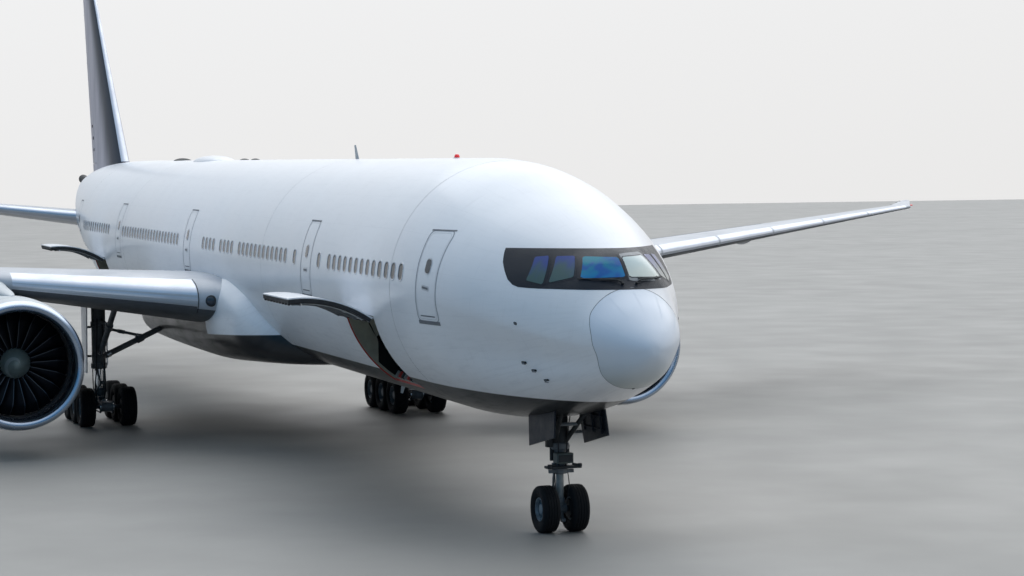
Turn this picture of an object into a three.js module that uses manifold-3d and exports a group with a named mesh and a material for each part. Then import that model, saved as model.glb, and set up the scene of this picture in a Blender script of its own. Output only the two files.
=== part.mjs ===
// A long twin-engine wide body airliner, parked on its landing gear, as a model at half scale.
// Millimetres, +X towards the nose, +Y to port, +Z up.
// The origin is on the ground, midway between nose tip and tail, on the plane of symmetry.
// Sizes are written as full-size metres. METRE turns one of them into model millimetres.
// A station is a distance aft of the nose tip. Left and right are the pilot's port and starboard.

import * as THREE from "three";
import { mergeVertices } from "three/addons/utils/BufferGeometryUtils.js";
import Module from "manifold-3d";

const wasm = await Module();
wasm.setup();

// Driving dimensions

const METRE = 500;
const LENGTH = 73.86;
const SEAM = 0.0006;
const RUNNING_GAP = 0.016;

const FUSELAGE_RADIUS = 3.1;
const DATUM_AT_NOSE = 5.46;
const DATUM_RISE = 0.012;

const WING_ROOT_Y = 3.02;
const WING_KINK_Y = 10.7;
const WING_TIP_Y = 30.47;
const WING_RAKE_Y = 32.4;

const ENGINE_Y = 9.61;
const ENGINE_Z = 2.83;
const ENGINE_LIP_S = 25.75;

const NOSE_GEAR_S = 5.89;
const NOSE_TYRE_RADIUS = 0.546;
const NOSE_TYRE_WIDTH = 0.42;
const NOSE_WHEEL_Y = 0.36;

const MAIN_GEAR_S = 37.11;
const MAIN_GEAR_Y = 5.485;
const MAIN_TYRE_RADIUS = 0.66;
const MAIN_TYRE_WIDTH = 0.52;
const MAIN_WHEEL_Y = 0.699;
const MAIN_AXLE_PITCH = 1.46;

const TYRE_SIDES = 18;

const TRIM_PIVOT_S = 67.2;
const TRIM_PIVOT_Z = 6.76;
const TRIM_TURNS = [-4, 3.5, 11];

// Columns: station, half width, top, bottom, height of the widest place, all from the datum line.
const SECTIONS = [
  [0.0, 0.03, -0.88, -0.94, -0.91],
  [0.1, 0.31, -0.64, -1.18, -0.91],
  [0.35, 0.6, -0.38, -1.42, -0.9],
  [0.75, 0.9, -0.06, -1.65, -0.88],
  [1.3, 1.14, 0.3, -1.85, -0.84],
  [2.0, 1.38, 0.95, -2.06, -0.78],
  [2.7, 1.66, 1.24, -2.25, -0.68],
  [3.5, 2.0, 1.55, -2.44, -0.56],
  [4.5, 2.36, 1.9, -2.65, -0.4],
  [5.5, 2.65, 2.21, -2.82, -0.26],
  [6.5, 2.83, 2.52, -2.94, -0.14],
  [7.7, 2.98, 2.83, -3.04, -0.05],
  [9.2, 3.07, 3.04, -3.1, 0.0],
  [10.6, 3.1, 3.1, -3.1, 0.0],
  [53.3, 3.1, 3.1, -3.1, 0.0],
  [54.6, 3.04, 3.1, -2.9, 0.06],
  [56.0, 2.91, 3.1, -2.52, 0.25],
  [60.0, 2.56, 3.08, -1.76, 0.6],
  [64.0, 2.04, 3.03, -0.84, 1.05],
  [68.0, 1.34, 2.9, 0.2, 1.5],
  [71.0, 0.68, 2.7, 1.1, 1.9],
  [73.08, 0.14, 2.48, 1.8, 2.15],
];

// Columns: node name, first station, last station, colour. The radome is cut off the nose section.
const BARRELS = [
  ["nose_section", 0.0, 9.2, "white"],
  ["forward_section", 9.2, 22.6, "white"],
  ["centre_section", 22.6, 45.7, "white"],
  ["rear_section", 45.7, 56.5, "white"],
  ["tail_section", 56.5, 71.0, "white"],
  ["tail_cone", 71.0, 73.08, "metal"],
];

// The radome's seam leans aft towards its top. Its station is given at one height.
const RADOME_SEAM_S = 1.11;
const RADOME_SEAM_Z = 4.9;
const RADOME_SEAM_LEAN = 0.34;

// Columns: door name, first and last station of the opening, hold ends.
const CARGO_DOORS = [
  ["forward", 10.9, 13.6, 9.6, 21.6],
  ["aft", 50.4, 53.1, 46.0, 53.6],
];
const CARGO_TOP_ANGLE = 15;
const CARGO_SILL_ANGLE = 57;
const CARGO_DOOR_THICKNESS = 0.13;
const CARGO_DOOR_TURN = 140;
const CARGO_FRAME_PLACES = [0.2, 0.5, 0.8];
const CARGO_FRAME_WIDTH = 0.1;
const CARGO_FRAME_DEPTH = 0.09;
const CARGO_FRAME_MARGIN = 4;

// Colours

const COLOURS = {
  white: [0xe9edf3, 0.35, 0.0],
  black: [0x14171b, 0.5, 0.0],
  grey: [0x8f969e, 0.5, 0.1],
  metal: [0xb9bec6, 0.3, 0.8],
  steel: [0x6f767d, 0.4, 0.8],
  tyre: [0x1b1c1e, 0.9, 0.0],
};
const materials = {};
for (const [name, [color, roughness, metalness]] of Object.entries(COLOURS)) {
  materials[name] = new THREE.MeshStandardMaterial({ color, roughness, metalness });
}

const airliner = new THREE.Group();

function addMesh(name, solid, colour) {
  const mesh = new THREE.Mesh(toGeometry(solid), materials[colour]);
  mesh.name = name;
  airliner.add(mesh);
}

// Places

function datum(station) {
  return DATUM_AT_NOSE + DATUM_RISE * station;
}

function place(station, y, z) {
  return new THREE.Vector3((LENGTH / 2 - station) * METRE, y * METRE, z * METRE);
}

function lerp(a, b, t) {
  return a + (b - a) * t;
}

// Turning three.js geometry into solids and back

function toSolid(geometry) {
  const bare = geometry.index ? geometry.clone() : geometry;
  for (const key of Object.keys(bare.attributes)) {
    if (key !== "position") {
      bare.deleteAttribute(key);
    }
  }
  const merged = mergeVertices(bare, 1e-3);
  const solidOf = (triangles) => new wasm.Manifold(new wasm.Mesh({
    numProp: 3,
    vertProperties: new Float32Array(merged.attributes.position.array),
    triVerts: triangles,
  }));
  const triangles = new Uint32Array(merged.index.array);
  const solid = solidOf(triangles);
  return solid.volume() < 0 ? solidOf(triangles.reverse()) : solid;
}

function toGeometry(solid) {
  const mesh = solid.getMesh();
  const geometry = new THREE.BufferGeometry();
  geometry.setAttribute("position", new THREE.BufferAttribute(mesh.vertProperties, 3));
  geometry.setIndex(new THREE.BufferAttribute(mesh.triVerts, 1));
  geometry.computeVertexNormals();
  return geometry;
}

// Joins rings of equal length into one closed solid. A ring runs anticlockwise seen from the last ring.
// From the point numbered turnover on, the faces between two rings are split along their other diagonal,
// which keeps the two sides of a thin twisted shape apart. The end faces are strips across the ring.
function loft(rings, turnover = Infinity) {
  const count = rings[0].length;
  const positions = rings.flat().flatMap((point) => [point.x, point.y, point.z]);
  const index = [];
  for (let ring = 0; ring < rings.length - 1; ring += 1) {
    for (let i = 0; i < count; i += 1) {
      const a = ring * count + i;
      const b = ring * count + ((i + 1) % count);
      if (i < turnover) {
        index.push(a, b, b + count, a, b + count, a + count);
      } else {
        index.push(a, b, a + count, b, b + count, a + count);
      }
    }
  }
  const last = (rings.length - 1) * count;
  let low = 0;
  let high = count - 1;
  while (high - low > 1) {
    index.push(low, high, low + 1, last + low, last + low + 1, last + high);
    low += 1;
    if (high - low > 1) {
      index.push(low, high, high - 1, last + low, last + high - 1, last + high);
      high -= 1;
    }
  }
  const geometry = new THREE.BufferGeometry();
  geometry.setAttribute("position", new THREE.BufferAttribute(new Float32Array(positions), 3));
  geometry.setIndex(index);
  return toSolid(geometry);
}

// A round bar or cone between two points.
function bar(start, end, startRadius, endRadius = startRadius, sides = 16) {
  const along = new THREE.Vector3().subVectors(end, start);
  const geometry = new THREE.CylinderGeometry(endRadius * METRE, startRadius * METRE, along.length(), sides);
  const turn = new THREE.Quaternion().setFromUnitVectors(new THREE.Vector3(0, 1, 0), along.clone().normalize());
  geometry.applyQuaternion(turn);
  geometry.translate((start.x + end.x) / 2, (start.y + end.y) / 2, (start.z + end.z) / 2);
  return toSolid(geometry);
}

// A box from its low and high corners in station, y and z.
function box([s0, y0, z0], [s1, y1, z1]) {
  const geometry = new THREE.BoxGeometry(
    Math.abs(s1 - s0) * METRE,
    Math.abs(y1 - y0) * METRE,
    Math.abs(z1 - z0) * METRE,
  );
  const centre = place((s0 + s1) / 2, (y0 + y1) / 2, (z0 + z1) / 2);
  geometry.translate(centre.x, centre.y, centre.z);
  return toSolid(geometry);
}

// A box laid along the line from start to end, from the line out along reach and to both sides of it.
function slab(start, end, reach, depth, halfHeight, extra = 0) {
  const along = new THREE.Vector3().subVectors(end, start).normalize();
  const out = reach.clone().addScaledVector(along, -reach.dot(along)).normalize();
  const side = new THREE.Vector3().crossVectors(along, out);
  const corner = (base, u, v) => base.clone()
    .addScaledVector(out, u * METRE)
    .addScaledVector(side, v * METRE);
  const ringAt = (base) => [
    corner(base, 0, -halfHeight),
    corner(base, depth, -halfHeight),
    corner(base, depth, halfHeight),
    corner(base, 0, halfHeight),
  ];
  const first = start.clone().addScaledVector(along, -extra * METRE);
  const last = end.clone().addScaledVector(along, extra * METRE);
  return loft([ringAt(first), ringAt(last)]);
}

// A body of revolution about a fore-and-aft axis. Columns of the outline: station, radius.
function turned(outline, y, z, sides) {
  const points = outline.map(([station, radius]) => new THREE.Vector2(radius * METRE, -station * METRE));
  const geometry = new THREE.LatheGeometry(points, sides);
  geometry.rotateZ(-Math.PI / 2);
  geometry.translate(LENGTH / 2 * METRE, y * METRE, z * METRE);
  return toSolid(geometry);
}

function mirror(solid) {
  return solid.mirror([0, 1, 0]);
}

function shifted(solid, x, y, z) {
  return solid.translate([x * METRE, y * METRE, z * METRE]);
}

// Turns a solid about a line through pivot, by the right-hand rule.
function turnAbout(solid, pivot, axis, degrees) {
  const matrix = new THREE.Matrix4().makeTranslation(pivot.x, pivot.y, pivot.z)
    .multiply(new THREE.Matrix4().makeRotationAxis(axis, THREE.MathUtils.degToRad(degrees)))
    .multiply(new THREE.Matrix4().makeTranslation(-pivot.x, -pivot.y, -pivot.z));
  return solid.transform(matrix.elements);
}

function union(solids) {
  return solids.reduce((sum, solid) => sum.add(solid));
}

// Fuselage

const RING_POINTS = 36;

function sectionAt(station) {
  const after = SECTIONS.findIndex((row) => row[0] >= station);
  const high = SECTIONS[Math.max(after, 1)];
  const low = SECTIONS[Math.max(after, 1) - 1];
  const t = (station - low[0]) / (high[0] - low[0]);
  return low.map((value, i) => lerp(value, high[i], t));
}

function fuselageRing(station, inset = 0) {
  const [, halfWidth, top, bottom, widest] = sectionAt(station);
  const ring = [];
  for (let i = 0; i < RING_POINTS; i += 1) {
    const angle = (2 * Math.PI * i) / RING_POINTS;
    const rise = Math.sin(angle) > 0 ? top - widest - inset : widest - bottom - inset;
    ring.push(place(
      station,
      (halfWidth - inset) * Math.cos(angle),
      datum(station) + widest + rise * Math.sin(angle),
    ));
  }
  return ring;
}

// A stretch of the fuselage. Grown by a gap, it is the space that a neighbour keeps clear of.
function barrel(first, last, gap = 0) {
  const inner = [...SECTIONS.map((row) => row[0]), ...BARRELS.map((row) => row[1])]
    .filter((station) => station > first && station < last)
    .sort((a, b) => a - b);
  const stations = [...new Set([first, ...inner, last])];
  return loft(stations.map((station) => fuselageRing(station, -gap)));
}

function withMirror(solid) {
  return solid.add(mirror(solid));
}

// A hold's clear space, two containers wide, seen along the fuselage. Columns: y, height from the datum.
const HOLD_OUTLINE = [
  [-2.1, -0.66],
  [-2.1, -1.45],
  [-1.55, -2.4],
  [1.55, -2.4],
  [2.1, -1.45],
  [2.1, -0.66],
];

// The hold's floor is level, so it follows the datum line only at its own middle.
function holdSpace(first, last) {
  const level = datum((first + last) / 2);
  const ringAt = (station) => HOLD_OUTLINE.map(([y, rise]) => place(station, y, level + rise));
  return loft([ringAt(first), ringAt(last)]);
}

// The curved shape of a cargo door or its opening, on the starboard side, between two radii.
function cargoShape(first, last, innerRadius, outerRadius, topAngle, sillAngle) {
  const steps = 7;
  const ringAt = (station) => {
    const ring = [];
    for (const [radius, direction] of [[outerRadius, 1], [innerRadius, -1]]) {
      for (let i = 0; i <= steps; i += 1) {
        const t = direction > 0 ? i / steps : 1 - i / steps;
        const angle = THREE.MathUtils.degToRad(lerp(topAngle, sillAngle, t));
        ring.push(place(station, -radius * Math.cos(angle), datum(station) - radius * Math.sin(angle)));
      }
    }
    return ring;
  };
  return loft([ringAt(first), ringAt(last)]);
}

const HINGE_BAR_RADIUS = 0.035;
const HINGE_EAR = 0.08;

function cargoHinge(station) {
  const angle = THREE.MathUtils.degToRad(CARGO_TOP_ANGLE);
  const radius = FUSELAGE_RADIUS + 0.01;
  return place(station, -radius * Math.cos(angle), datum(station) - radius * Math.sin(angle));
}

// The hinge line runs forward, parallel to the fuselage's centre line.
const HINGE_AXIS = new THREE.Vector3(1, 0, -DATUM_RISE).normalize();

function cargoDoor(first, last) {
  const gapAngle = THREE.MathUtils.radToDeg(RUNNING_GAP / FUSELAGE_RADIUS);
  const panel = cargoShape(
    first + RUNNING_GAP,
    last - RUNNING_GAP,
    FUSELAGE_RADIUS - CARGO_DOOR_THICKNESS,
    FUSELAGE_RADIUS,
    CARGO_TOP_ANGLE + gapAngle,
    CARGO_SILL_ANGLE - gapAngle,
  );
  const hinge = bar(
    cargoHinge(first + SEAM),
    cargoHinge(last - SEAM),
    HINGE_BAR_RADIUS,
    HINGE_BAR_RADIUS,
    12,
  );
  const frames = CARGO_FRAME_PLACES.map((t) => {
    const middle = lerp(first, last, t);
    return cargoShape(
      middle - CARGO_FRAME_WIDTH / 2,
      middle + CARGO_FRAME_WIDTH / 2,
      FUSELAGE_RADIUS - CARGO_DOOR_THICKNESS - CARGO_FRAME_DEPTH,
      FUSELAGE_RADIUS - CARGO_DOOR_THICKNESS / 2,
      CARGO_TOP_ANGLE + CARGO_FRAME_MARGIN,
      CARGO_SILL_ANGLE - CARGO_FRAME_MARGIN,
    );
  });
  return union([panel, hinge, ...frames]);
}

function cutHold(solid, [, first, last, holdFirst, holdLast]) {
  const opening = cargoShape(
    first,
    last,
    1.2,
    FUSELAGE_RADIUS + 0.1,
    CARGO_TOP_ANGLE - 0.9,
    CARGO_SILL_ANGLE,
  );
  let result = solid.subtract(holdSpace(holdFirst, holdLast)).subtract(opening);
  for (const end of [first - HINGE_EAR, last]) {
    const ear = bar(cargoHinge(end), cargoHinge(end + HINGE_EAR), 0.06, 0.06, 12);
    result = result.add(ear);
  }
  return result;
}

const fuselage = {};
for (const [name, first, last] of BARRELS) {
  fuselage[name] = barrel(first + (first > 0 ? SEAM / 2 : 0), last - (name === "tail_cone" ? 0 : SEAM / 2));
}
const seamNormal = new THREE.Vector3(1, 0, RADOME_SEAM_LEAN).normalize();
const seamOffset = place(RADOME_SEAM_S, 0, RADOME_SEAM_Z).dot(seamNormal);
const halfSeam = (SEAM / 2) * METRE;
fuselage.radome = fuselage.nose_section.trimByPlane(seamNormal.toArray(), seamOffset + halfSeam);
fuselage.nose_section = fuselage.nose_section.trimByPlane(
  seamNormal.clone().negate().toArray(),
  -(seamOffset - halfSeam),
);
fuselage.forward_section = cutHold(fuselage.forward_section, CARGO_DOORS[0]);
fuselage.rear_section = cutHold(fuselage.rear_section, CARGO_DOORS[1]);

// Roof items, each sunk a little into the crown that carries it.
// Columns: node, first and last station, half width, height.
const ROOF_DOMES = [
  ["forward_section", 13.4, 13.62, 0.09, 0.16],
  ["centre_section", 36.4, 37.1, 0.2, 0.06],
  ["centre_section", 37.5, 38.1, 0.2, 0.06],
  ["centre_section", 41.3, 45.5, 0.62, 0.34],
  ["rear_section", 49.0, 50.6, 0.3, 0.14],
];
const DOME_SINK = 0.12;
const DOME_POINTS = 8;
const DOME_STEPS = 6;

function roofDome(first, last, halfWidth, height) {
  const rings = [];
  for (let i = 0; i <= DOME_STEPS; i += 1) {
    const turn = (Math.PI * i) / DOME_STEPS;
    const station = lerp(first, last, (1 - Math.cos(turn)) / 2);
    const swell = Math.max(Math.sin(turn), 0.08);
    const base = datum(station) + FUSELAGE_RADIUS - DOME_SINK;
    const ring = [];
    for (let k = 0; k < DOME_POINTS; k += 1) {
      const angle = (Math.PI * k) / (DOME_POINTS - 1);
      const rise = (height + DOME_SINK) * swell * Math.sin(angle);
      ring.push(place(station, halfWidth * swell * Math.cos(angle), base + rise));
    }
    rings.push(ring);
  }
  return loft(rings);
}

for (const [node, first, last, halfWidth, height] of ROOF_DOMES) {
  fuselage[node] = fuselage[node].add(roofDome(first, last, halfWidth, height));
}

// Blade aerials. Columns: node, root station, root chord, height, 1 for the crown or -1 for the belly.
const BLADE_AERIALS = [
  ["centre_section", 23.1, 0.55, 0.48, 1],
  ["forward_section", 18.2, 0.5, 0.36, -1],
  ["rear_section", 48.2, 0.5, 0.36, -1],
];

function bladeAerial(station, chord, height, side) {
  const sink = 0.06;
  const root = datum(station) + side * (FUSELAGE_RADIUS - sink);
  const ringAt = (start, length, z) => [
    place(start, 0, z),
    place(start + length * 0.4, 0.03, z),
    place(start + length, 0, z),
    place(start + length * 0.4, -0.03, z),
  ];
  const tip = root + side * (height + sink);
  return loft([ringAt(station, chord, root), ringAt(station + chord * 0.5, chord * 0.45, tip)]);
}

for (const [node, station, chord, height, side] of BLADE_AERIALS) {
  fuselage[node] = fuselage[node].add(bladeAerial(station, chord, height, side));
}

for (const [name, first, last] of CARGO_DOORS) {
  const closed = cargoDoor(first, last);
  const open = turnAbout(closed, cargoHinge(first), HINGE_AXIS, -CARGO_DOOR_TURN);
  addMesh(`${name}_cargo_door`, open, "white");
}

// Aerofoils

// Columns: fraction of the chord, half thickness as a fraction of the greatest half thickness.
const AEROFOIL = [
  [0.0, 0.0],
  [0.012, 0.36],
  [0.04, 0.6],
  [0.1, 0.82],
  [0.22, 0.97],
  [0.38, 1.0],
  [0.58, 0.86],
  [0.72, 0.62],
  [1.0, 0.03],
];

// One aerofoil outline. The thickness runs along up, which is a unit vector.
function aerofoilRing({ station, y, z, chord, thickness }, up) {
  const half = (chord * thickness) / 2;
  const at = (fraction, side) => place(station + fraction * chord, y, z)
    .addScaledVector(up, side * METRE);
  const upper = AEROFOIL.map(([fraction, height]) => at(fraction, height * half));
  const lower = AEROFOIL.slice(1).reverse().map(([fraction, height]) => at(fraction, -height * half));
  return [...upper, ...lower];
}

function halfThickness(row, fraction) {
  const after = Math.max(AEROFOIL.findIndex((point) => point[0] >= fraction), 1);
  const low = AEROFOIL[after - 1];
  const high = AEROFOIL[after];
  const height = lerp(low[1], high[1], (fraction - low[0]) / (high[0] - low[0]));
  return (row.chord * row.thickness * height) / 2;
}

function between(low, high, t) {
  const row = {};
  for (const key of Object.keys(low)) {
    row[key] = lerp(low[key], high[key], t);
  }
  return row;
}

const HINGE_SIDES = 12;
const HINGE_FLAT = Math.cos(Math.PI / HINGE_SIDES);

// Cuts a hinged surface out of an aerofoil. It runs from one place along the span to another,
// behind the hinge line at a fraction of the chord, and its nose is round about that line.
function hinged(body, low, high, { from, to, fraction }) {
  const first = between(low, high, from);
  const last = between(low, high, to);
  const start = place(first.station + fraction * first.chord, first.y, first.z);
  const end = place(last.station + fraction * last.chord, last.y, last.z);
  const aft = new THREE.Vector3(-1, 0, 0);
  const startRadius = halfThickness(first, fraction);
  const endRadius = halfThickness(last, fraction);
  const along = new THREE.Vector3().subVectors(end, start).normalize();
  const reach = first.chord;
  const region = slab(start, end, aft, reach, 1.2);
  const surface = body.intersect(region).add(bar(start, end, startRadius, endRadius, HINGE_SIDES));
  const widened = slab(start, end, aft, reach, 1.2, RUNNING_GAP);
  const coveStart = start.clone().addScaledVector(along, -RUNNING_GAP * METRE);
  const coveEnd = end.clone().addScaledVector(along, RUNNING_GAP * METRE);
  const coveRadii = [startRadius, endRadius].map((radius) => (radius + RUNNING_GAP) / HINGE_FLAT);
  const cove = bar(coveStart, coveEnd, ...coveRadii, HINGE_SIDES);
  const pinRadius = Math.min(startRadius, endRadius) * 0.4;
  const reachPin = (RUNNING_GAP - SEAM) * METRE;
  const pin = bar(
    start.clone().addScaledVector(along, -reachPin),
    end.clone().addScaledVector(along, reachPin),
    pinRadius,
    pinRadius,
    10,
  );
  return {
    surface: surface.add(pin),
    body: body.subtract(widened).subtract(cove),
  };
}

// Cuts a fixed panel, such as a flap, out of an aerofoil.
function panelOf(body, low, high, { from, to, fraction }) {
  const first = between(low, high, from);
  const last = between(low, high, to);
  const start = place(first.station + fraction * first.chord, first.y, first.z);
  const end = place(last.station + fraction * last.chord, last.y, last.z);
  const aft = new THREE.Vector3(-1, 0, 0);
  const region = slab(start, end, aft, first.chord, 1.6);
  const forward = new THREE.Vector3(SEAM * METRE, 0, 0);
  const cut = slab(start.clone().add(forward), end.clone().add(forward), aft, first.chord, 1.6, SEAM);
  return { surface: body.intersect(region), body: body.subtract(cut) };
}

// Wings

const WING_LE_AT_CENTRE = 24.67;
const WING_LE_SLOPE = 0.687;
const WING_TE_INBOARD = 40.26;
const WING_TE_KINK = 39.4;
const WING_TE_TIP = 47.66;
const WING_ROOT_Z = 4.5;
const WING_RISE = 0.088;

function wingRow(y, trailing, thickness) {
  const leading = WING_LE_AT_CENTRE + WING_LE_SLOPE * y;
  return {
    station: leading,
    y,
    z: WING_ROOT_Z + WING_RISE * (y - WING_ROOT_Y),
    chord: trailing - leading,
    thickness,
  };
}

const wingRoot = wingRow(
  WING_ROOT_Y,
  lerp(WING_TE_INBOARD, WING_TE_KINK, WING_ROOT_Y / WING_KINK_Y),
  0.125,
);
const wingKink = wingRow(WING_KINK_Y, WING_TE_KINK, 0.108);
const wingTip = wingRow(WING_TIP_Y, WING_TE_TIP, 0.1);
const wingRake = {
  station: 49.3,
  y: WING_RAKE_Y,
  z: WING_ROOT_Z + WING_RISE * (WING_RAKE_Y - WING_ROOT_Y) + 0.05,
  chord: 0.75,
  thickness: 0.1,
};
const UP = new THREE.Vector3(0, 0, 1);

const wholeWing = loft([wingRoot, wingKink, wingTip, wingRake].map((row) => aerofoilRing(row, UP)));

let wing = wholeWing;

// Columns: piece, first row, second row, start and end as fractions of the way, hinge as a fraction of the chord.
const WING_PANELS = [
  ["inboard_flap", wingRoot, wingKink, 0.05, 0.74, 0.74],
  ["outboard_flap", wingKink, wingTip, 0.02, 0.6, 0.74],
];
const WING_HINGED = [
  ["flaperon", wingRoot, wingKink, 0.77, 0.985, 0.78],
  ["aileron", wingKink, wingTip, 0.62, 0.94, 0.76],
];
const wingPieces = {};
for (const [name, low, high, from, to, fraction] of WING_PANELS) {
  const cut = panelOf(wing, low, high, { from, to, fraction });
  wing = cut.body;
  wingPieces[name] = cut.surface;
}
for (const [name, low, high, from, to, fraction] of WING_HINGED) {
  const cut = hinged(wing, low, high, { from, to, fraction });
  wing = cut.body;
  wingPieces[name] = cut.surface;
}
wingPieces.wing = wing;

// Fairing under the wing root

// Columns: station, half width, top and bottom height from the datum.
const FAIRING_SECTIONS = [
  [21.6, 1.2, -2.4, -2.95],
  [23.6, 2.75, -1.4, -3.25],
  [25.4, 3.34, -0.55, -3.42],
  [28.0, 3.5, -0.2, -3.46],
  [36.0, 3.46, -0.3, -3.46],
  [40.0, 3.36, -0.62, -3.42],
  [43.4, 2.75, -1.6, -3.25],
  [46.2, 1.2, -2.5, -2.95],
];

const FAIRING_POINTS = 14;

function fairingRing([station, halfWidth, top, bottom]) {
  const ring = [];
  const middle = (top + bottom) / 2;
  for (let i = 0; i < FAIRING_POINTS; i += 1) {
    const angle = (2 * Math.PI * i) / FAIRING_POINTS;
    const square = (value) => Math.sign(value) * Math.abs(value) ** 0.6;
    ring.push(place(
      station,
      halfWidth * square(Math.cos(angle)),
      datum(station) + middle + ((top - bottom) / 2) * square(Math.sin(angle)),
    ));
  }
  return ring;
}

let fairing = loft(FAIRING_SECTIONS.map(fairingRing));
const fatFuselage = withMirror(barrel(15.0, 53.0, SEAM));
fairing = fairing.subtract(fatFuselage);

// The wing meets the fuselage and the fairing at a seam.
for (const key of Object.keys(wingPieces)) {
  wingPieces[key] = wingPieces[key].subtract(fatFuselage);
}
const fatWing = union([[SEAM, 0], [-SEAM, 0], [0, SEAM], [0, -SEAM]].map(([x, z]) => shifted(wholeWing, x, 0, z)));
fairing = fairing.subtract(fatWing).subtract(mirror(fatWing));

// Canoe fairings over the flap tracks, each part of the wing's fixed structure.
// Columns: y, length ahead of the trailing edge, length behind it, depth below the wing, half width.
const TRACK_FAIRINGS = [
  [7.7, 4.4, 0.9, 0.62, 0.24],
  [12.4, 3.4, 0.9, 0.5, 0.2],
  [17.0, 2.9, 0.8, 0.42, 0.17],
  [21.4, 2.4, 0.7, 0.36, 0.15],
];

const TRACK_SIDES = 6;
const TRACK_STEPS = 6;

function trackFairing([y, ahead, behind, depth, halfWidth]) {
  const [low, high] = y < WING_KINK_Y ? [wingRoot, wingKink] : [wingKink, wingTip];
  const row = between(low, high, (y - low.y) / (high.y - low.y));
  const trailing = row.station + row.chord;
  const rings = [];
  for (let i = 0; i <= TRACK_STEPS; i += 1) {
    const t = i / TRACK_STEPS;
    const swell = Math.max(Math.sin(Math.PI * t) ** 0.7, 0.06);
    const station = lerp(trailing - ahead, trailing + behind, t);
    const middle = row.z - lerp(0.1, 0.16, t) - (depth * swell) / 2;
    const halfHeight = (depth / 2 + 0.1) * swell;
    const ring = [];
    for (let k = 0; k < TRACK_SIDES; k += 1) {
      const angle = (2 * Math.PI * (k + 0.5)) / TRACK_SIDES;
      ring.push(place(station, y + halfWidth * swell * Math.cos(angle), middle + halfHeight * Math.sin(angle)));
    }
    rings.push(ring);
  }
  return loft(rings);
}

const flaps = wingPieces.inboard_flap.add(wingPieces.outboard_flap);
const fatFlaps = union([SEAM, -SEAM].flatMap((step) => [
  shifted(flaps, step, 0, 0),
  shifted(flaps, 0, step, 0),
  shifted(flaps, 0, 0, step),
]));
for (const row of TRACK_FAIRINGS) {
  wingPieces.wing = wingPieces.wing.add(trackFairing(row).subtract(fatFlaps));
}

// Engines

const FAN_SIDES = 28;
const DUCT_RADIUS = 1.63;
const NACELLE_OUTLINE = [
  [27.3, DUCT_RADIUS],
  [26.2, 1.59],
  [25.9, 1.64],
  [25.75, 1.76],
  [25.8, 1.84],
  [26.1, 1.92],
  [26.9, 1.99],
  [28.2, 2.0],
  [29.8, 1.94],
  [31.4, 1.75],
  [32.7, 1.5],
  [32.7, 1.46],
  [31.2, 1.62],
  [29.6, DUCT_RADIUS],
  [27.3, DUCT_RADIUS],
];
const CORE_OUTLINE = [
  [27.75, 0.0],
  [27.75, 0.5],
  [28.3, 0.62],
  [30.0, 1.1],
  [31.8, 1.16],
  [33.4, 0.98],
  [34.2, 0.8],
  [34.2, 0.52],
  [35.4, 0.12],
  [35.5, 0.0],
];
const STRUT_COUNT = 8;
const BLADE_COUNT = 22;
// Columns: radius, station of the blade's middle, chord, turn from the axis in degrees.
const BLADE_ROWS = [
  [0.36, 27.36, 0.3, 28],
  [0.85, 27.24, 0.52, 42],
  [1.25, 27.2, 0.62, 55],
  [1.56, 27.32, 0.56, 63],
];
const BLADE_THICKNESS = 0.04;
const BLADE_EDGE = 0.3;

function bladeRing([radius, station, chord, turn]) {
  const angle = THREE.MathUtils.degToRad(turn);
  const along = new THREE.Vector3(-Math.cos(angle), Math.sin(angle), 0).multiplyScalar(chord / 2 * METRE);
  const across = new THREE.Vector3(Math.sin(angle), Math.cos(angle), 0)
    .multiplyScalar(BLADE_THICKNESS / 2 * METRE);
  const middle = place(station, 0, radius);
  const at = (u, v) => middle.clone().addScaledVector(along, u).addScaledVector(across, v);
  return [at(1, BLADE_EDGE), at(0, 1), at(-1, BLADE_EDGE), at(-1, -BLADE_EDGE), at(0, -1), at(1, -BLADE_EDGE)];
}

function aroundAxis(solid, count) {
  const copies = [];
  for (let i = 0; i < count; i += 1) {
    copies.push(solid.rotate([(360 * i) / count, 0, 0]));
  }
  return union(copies);
}

function makeFan() {
  const hub = turned([
    [26.6, 0.0],
    [26.66, 0.13],
    [26.85, 0.28],
    [27.1, 0.42],
    [27.35, 0.52],
    [27.7, 0.55],
    [27.75 - SEAM, 0.5],
    [27.75 - SEAM, 0.0],
  ], 0, 0, 16);
  const blade = loft(BLADE_ROWS.map(bladeRing), 3);
  return hub.add(aroundAxis(blade, BLADE_COUNT));
}

function makeCore() {
  const ductFlat = DUCT_RADIUS * Math.cos(Math.PI / FAN_SIDES);
  const strut = loft([0.6, ductFlat - SEAM].map((radius) => [
    place(28.5, 0, radius),
    place(28.7, 0.04, radius),
    place(29.3, 0.0, radius),
    place(28.7, -0.04, radius),
  ]));
  return turned(CORE_OUTLINE, 0, 0, 20).add(aroundAxis(strut, STRUT_COUNT));
}

// Columns: station, half width, low and high height above the engine's axis.
const PYLON_SECTIONS = [
  [27.6, 0.05, 1.85, 2.02],
  [28.6, 0.2, 1.8, 2.22],
  [30.5, 0.27, 1.8, 2.5],
  [32.6, 0.27, 1.75, 2.7],
  [34.5, 0.24, 1.45, 2.6],
  [37.2, 0.05, 1.95, 2.3],
];

function pylonRing([station, halfWidth, low, high]) {
  return [
    place(station, halfWidth, low),
    place(station, halfWidth, high - halfWidth * 0.6),
    place(station, 0, high),
    place(station, -halfWidth, high - halfWidth * 0.6),
    place(station, -halfWidth, low),
  ];
}

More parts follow.
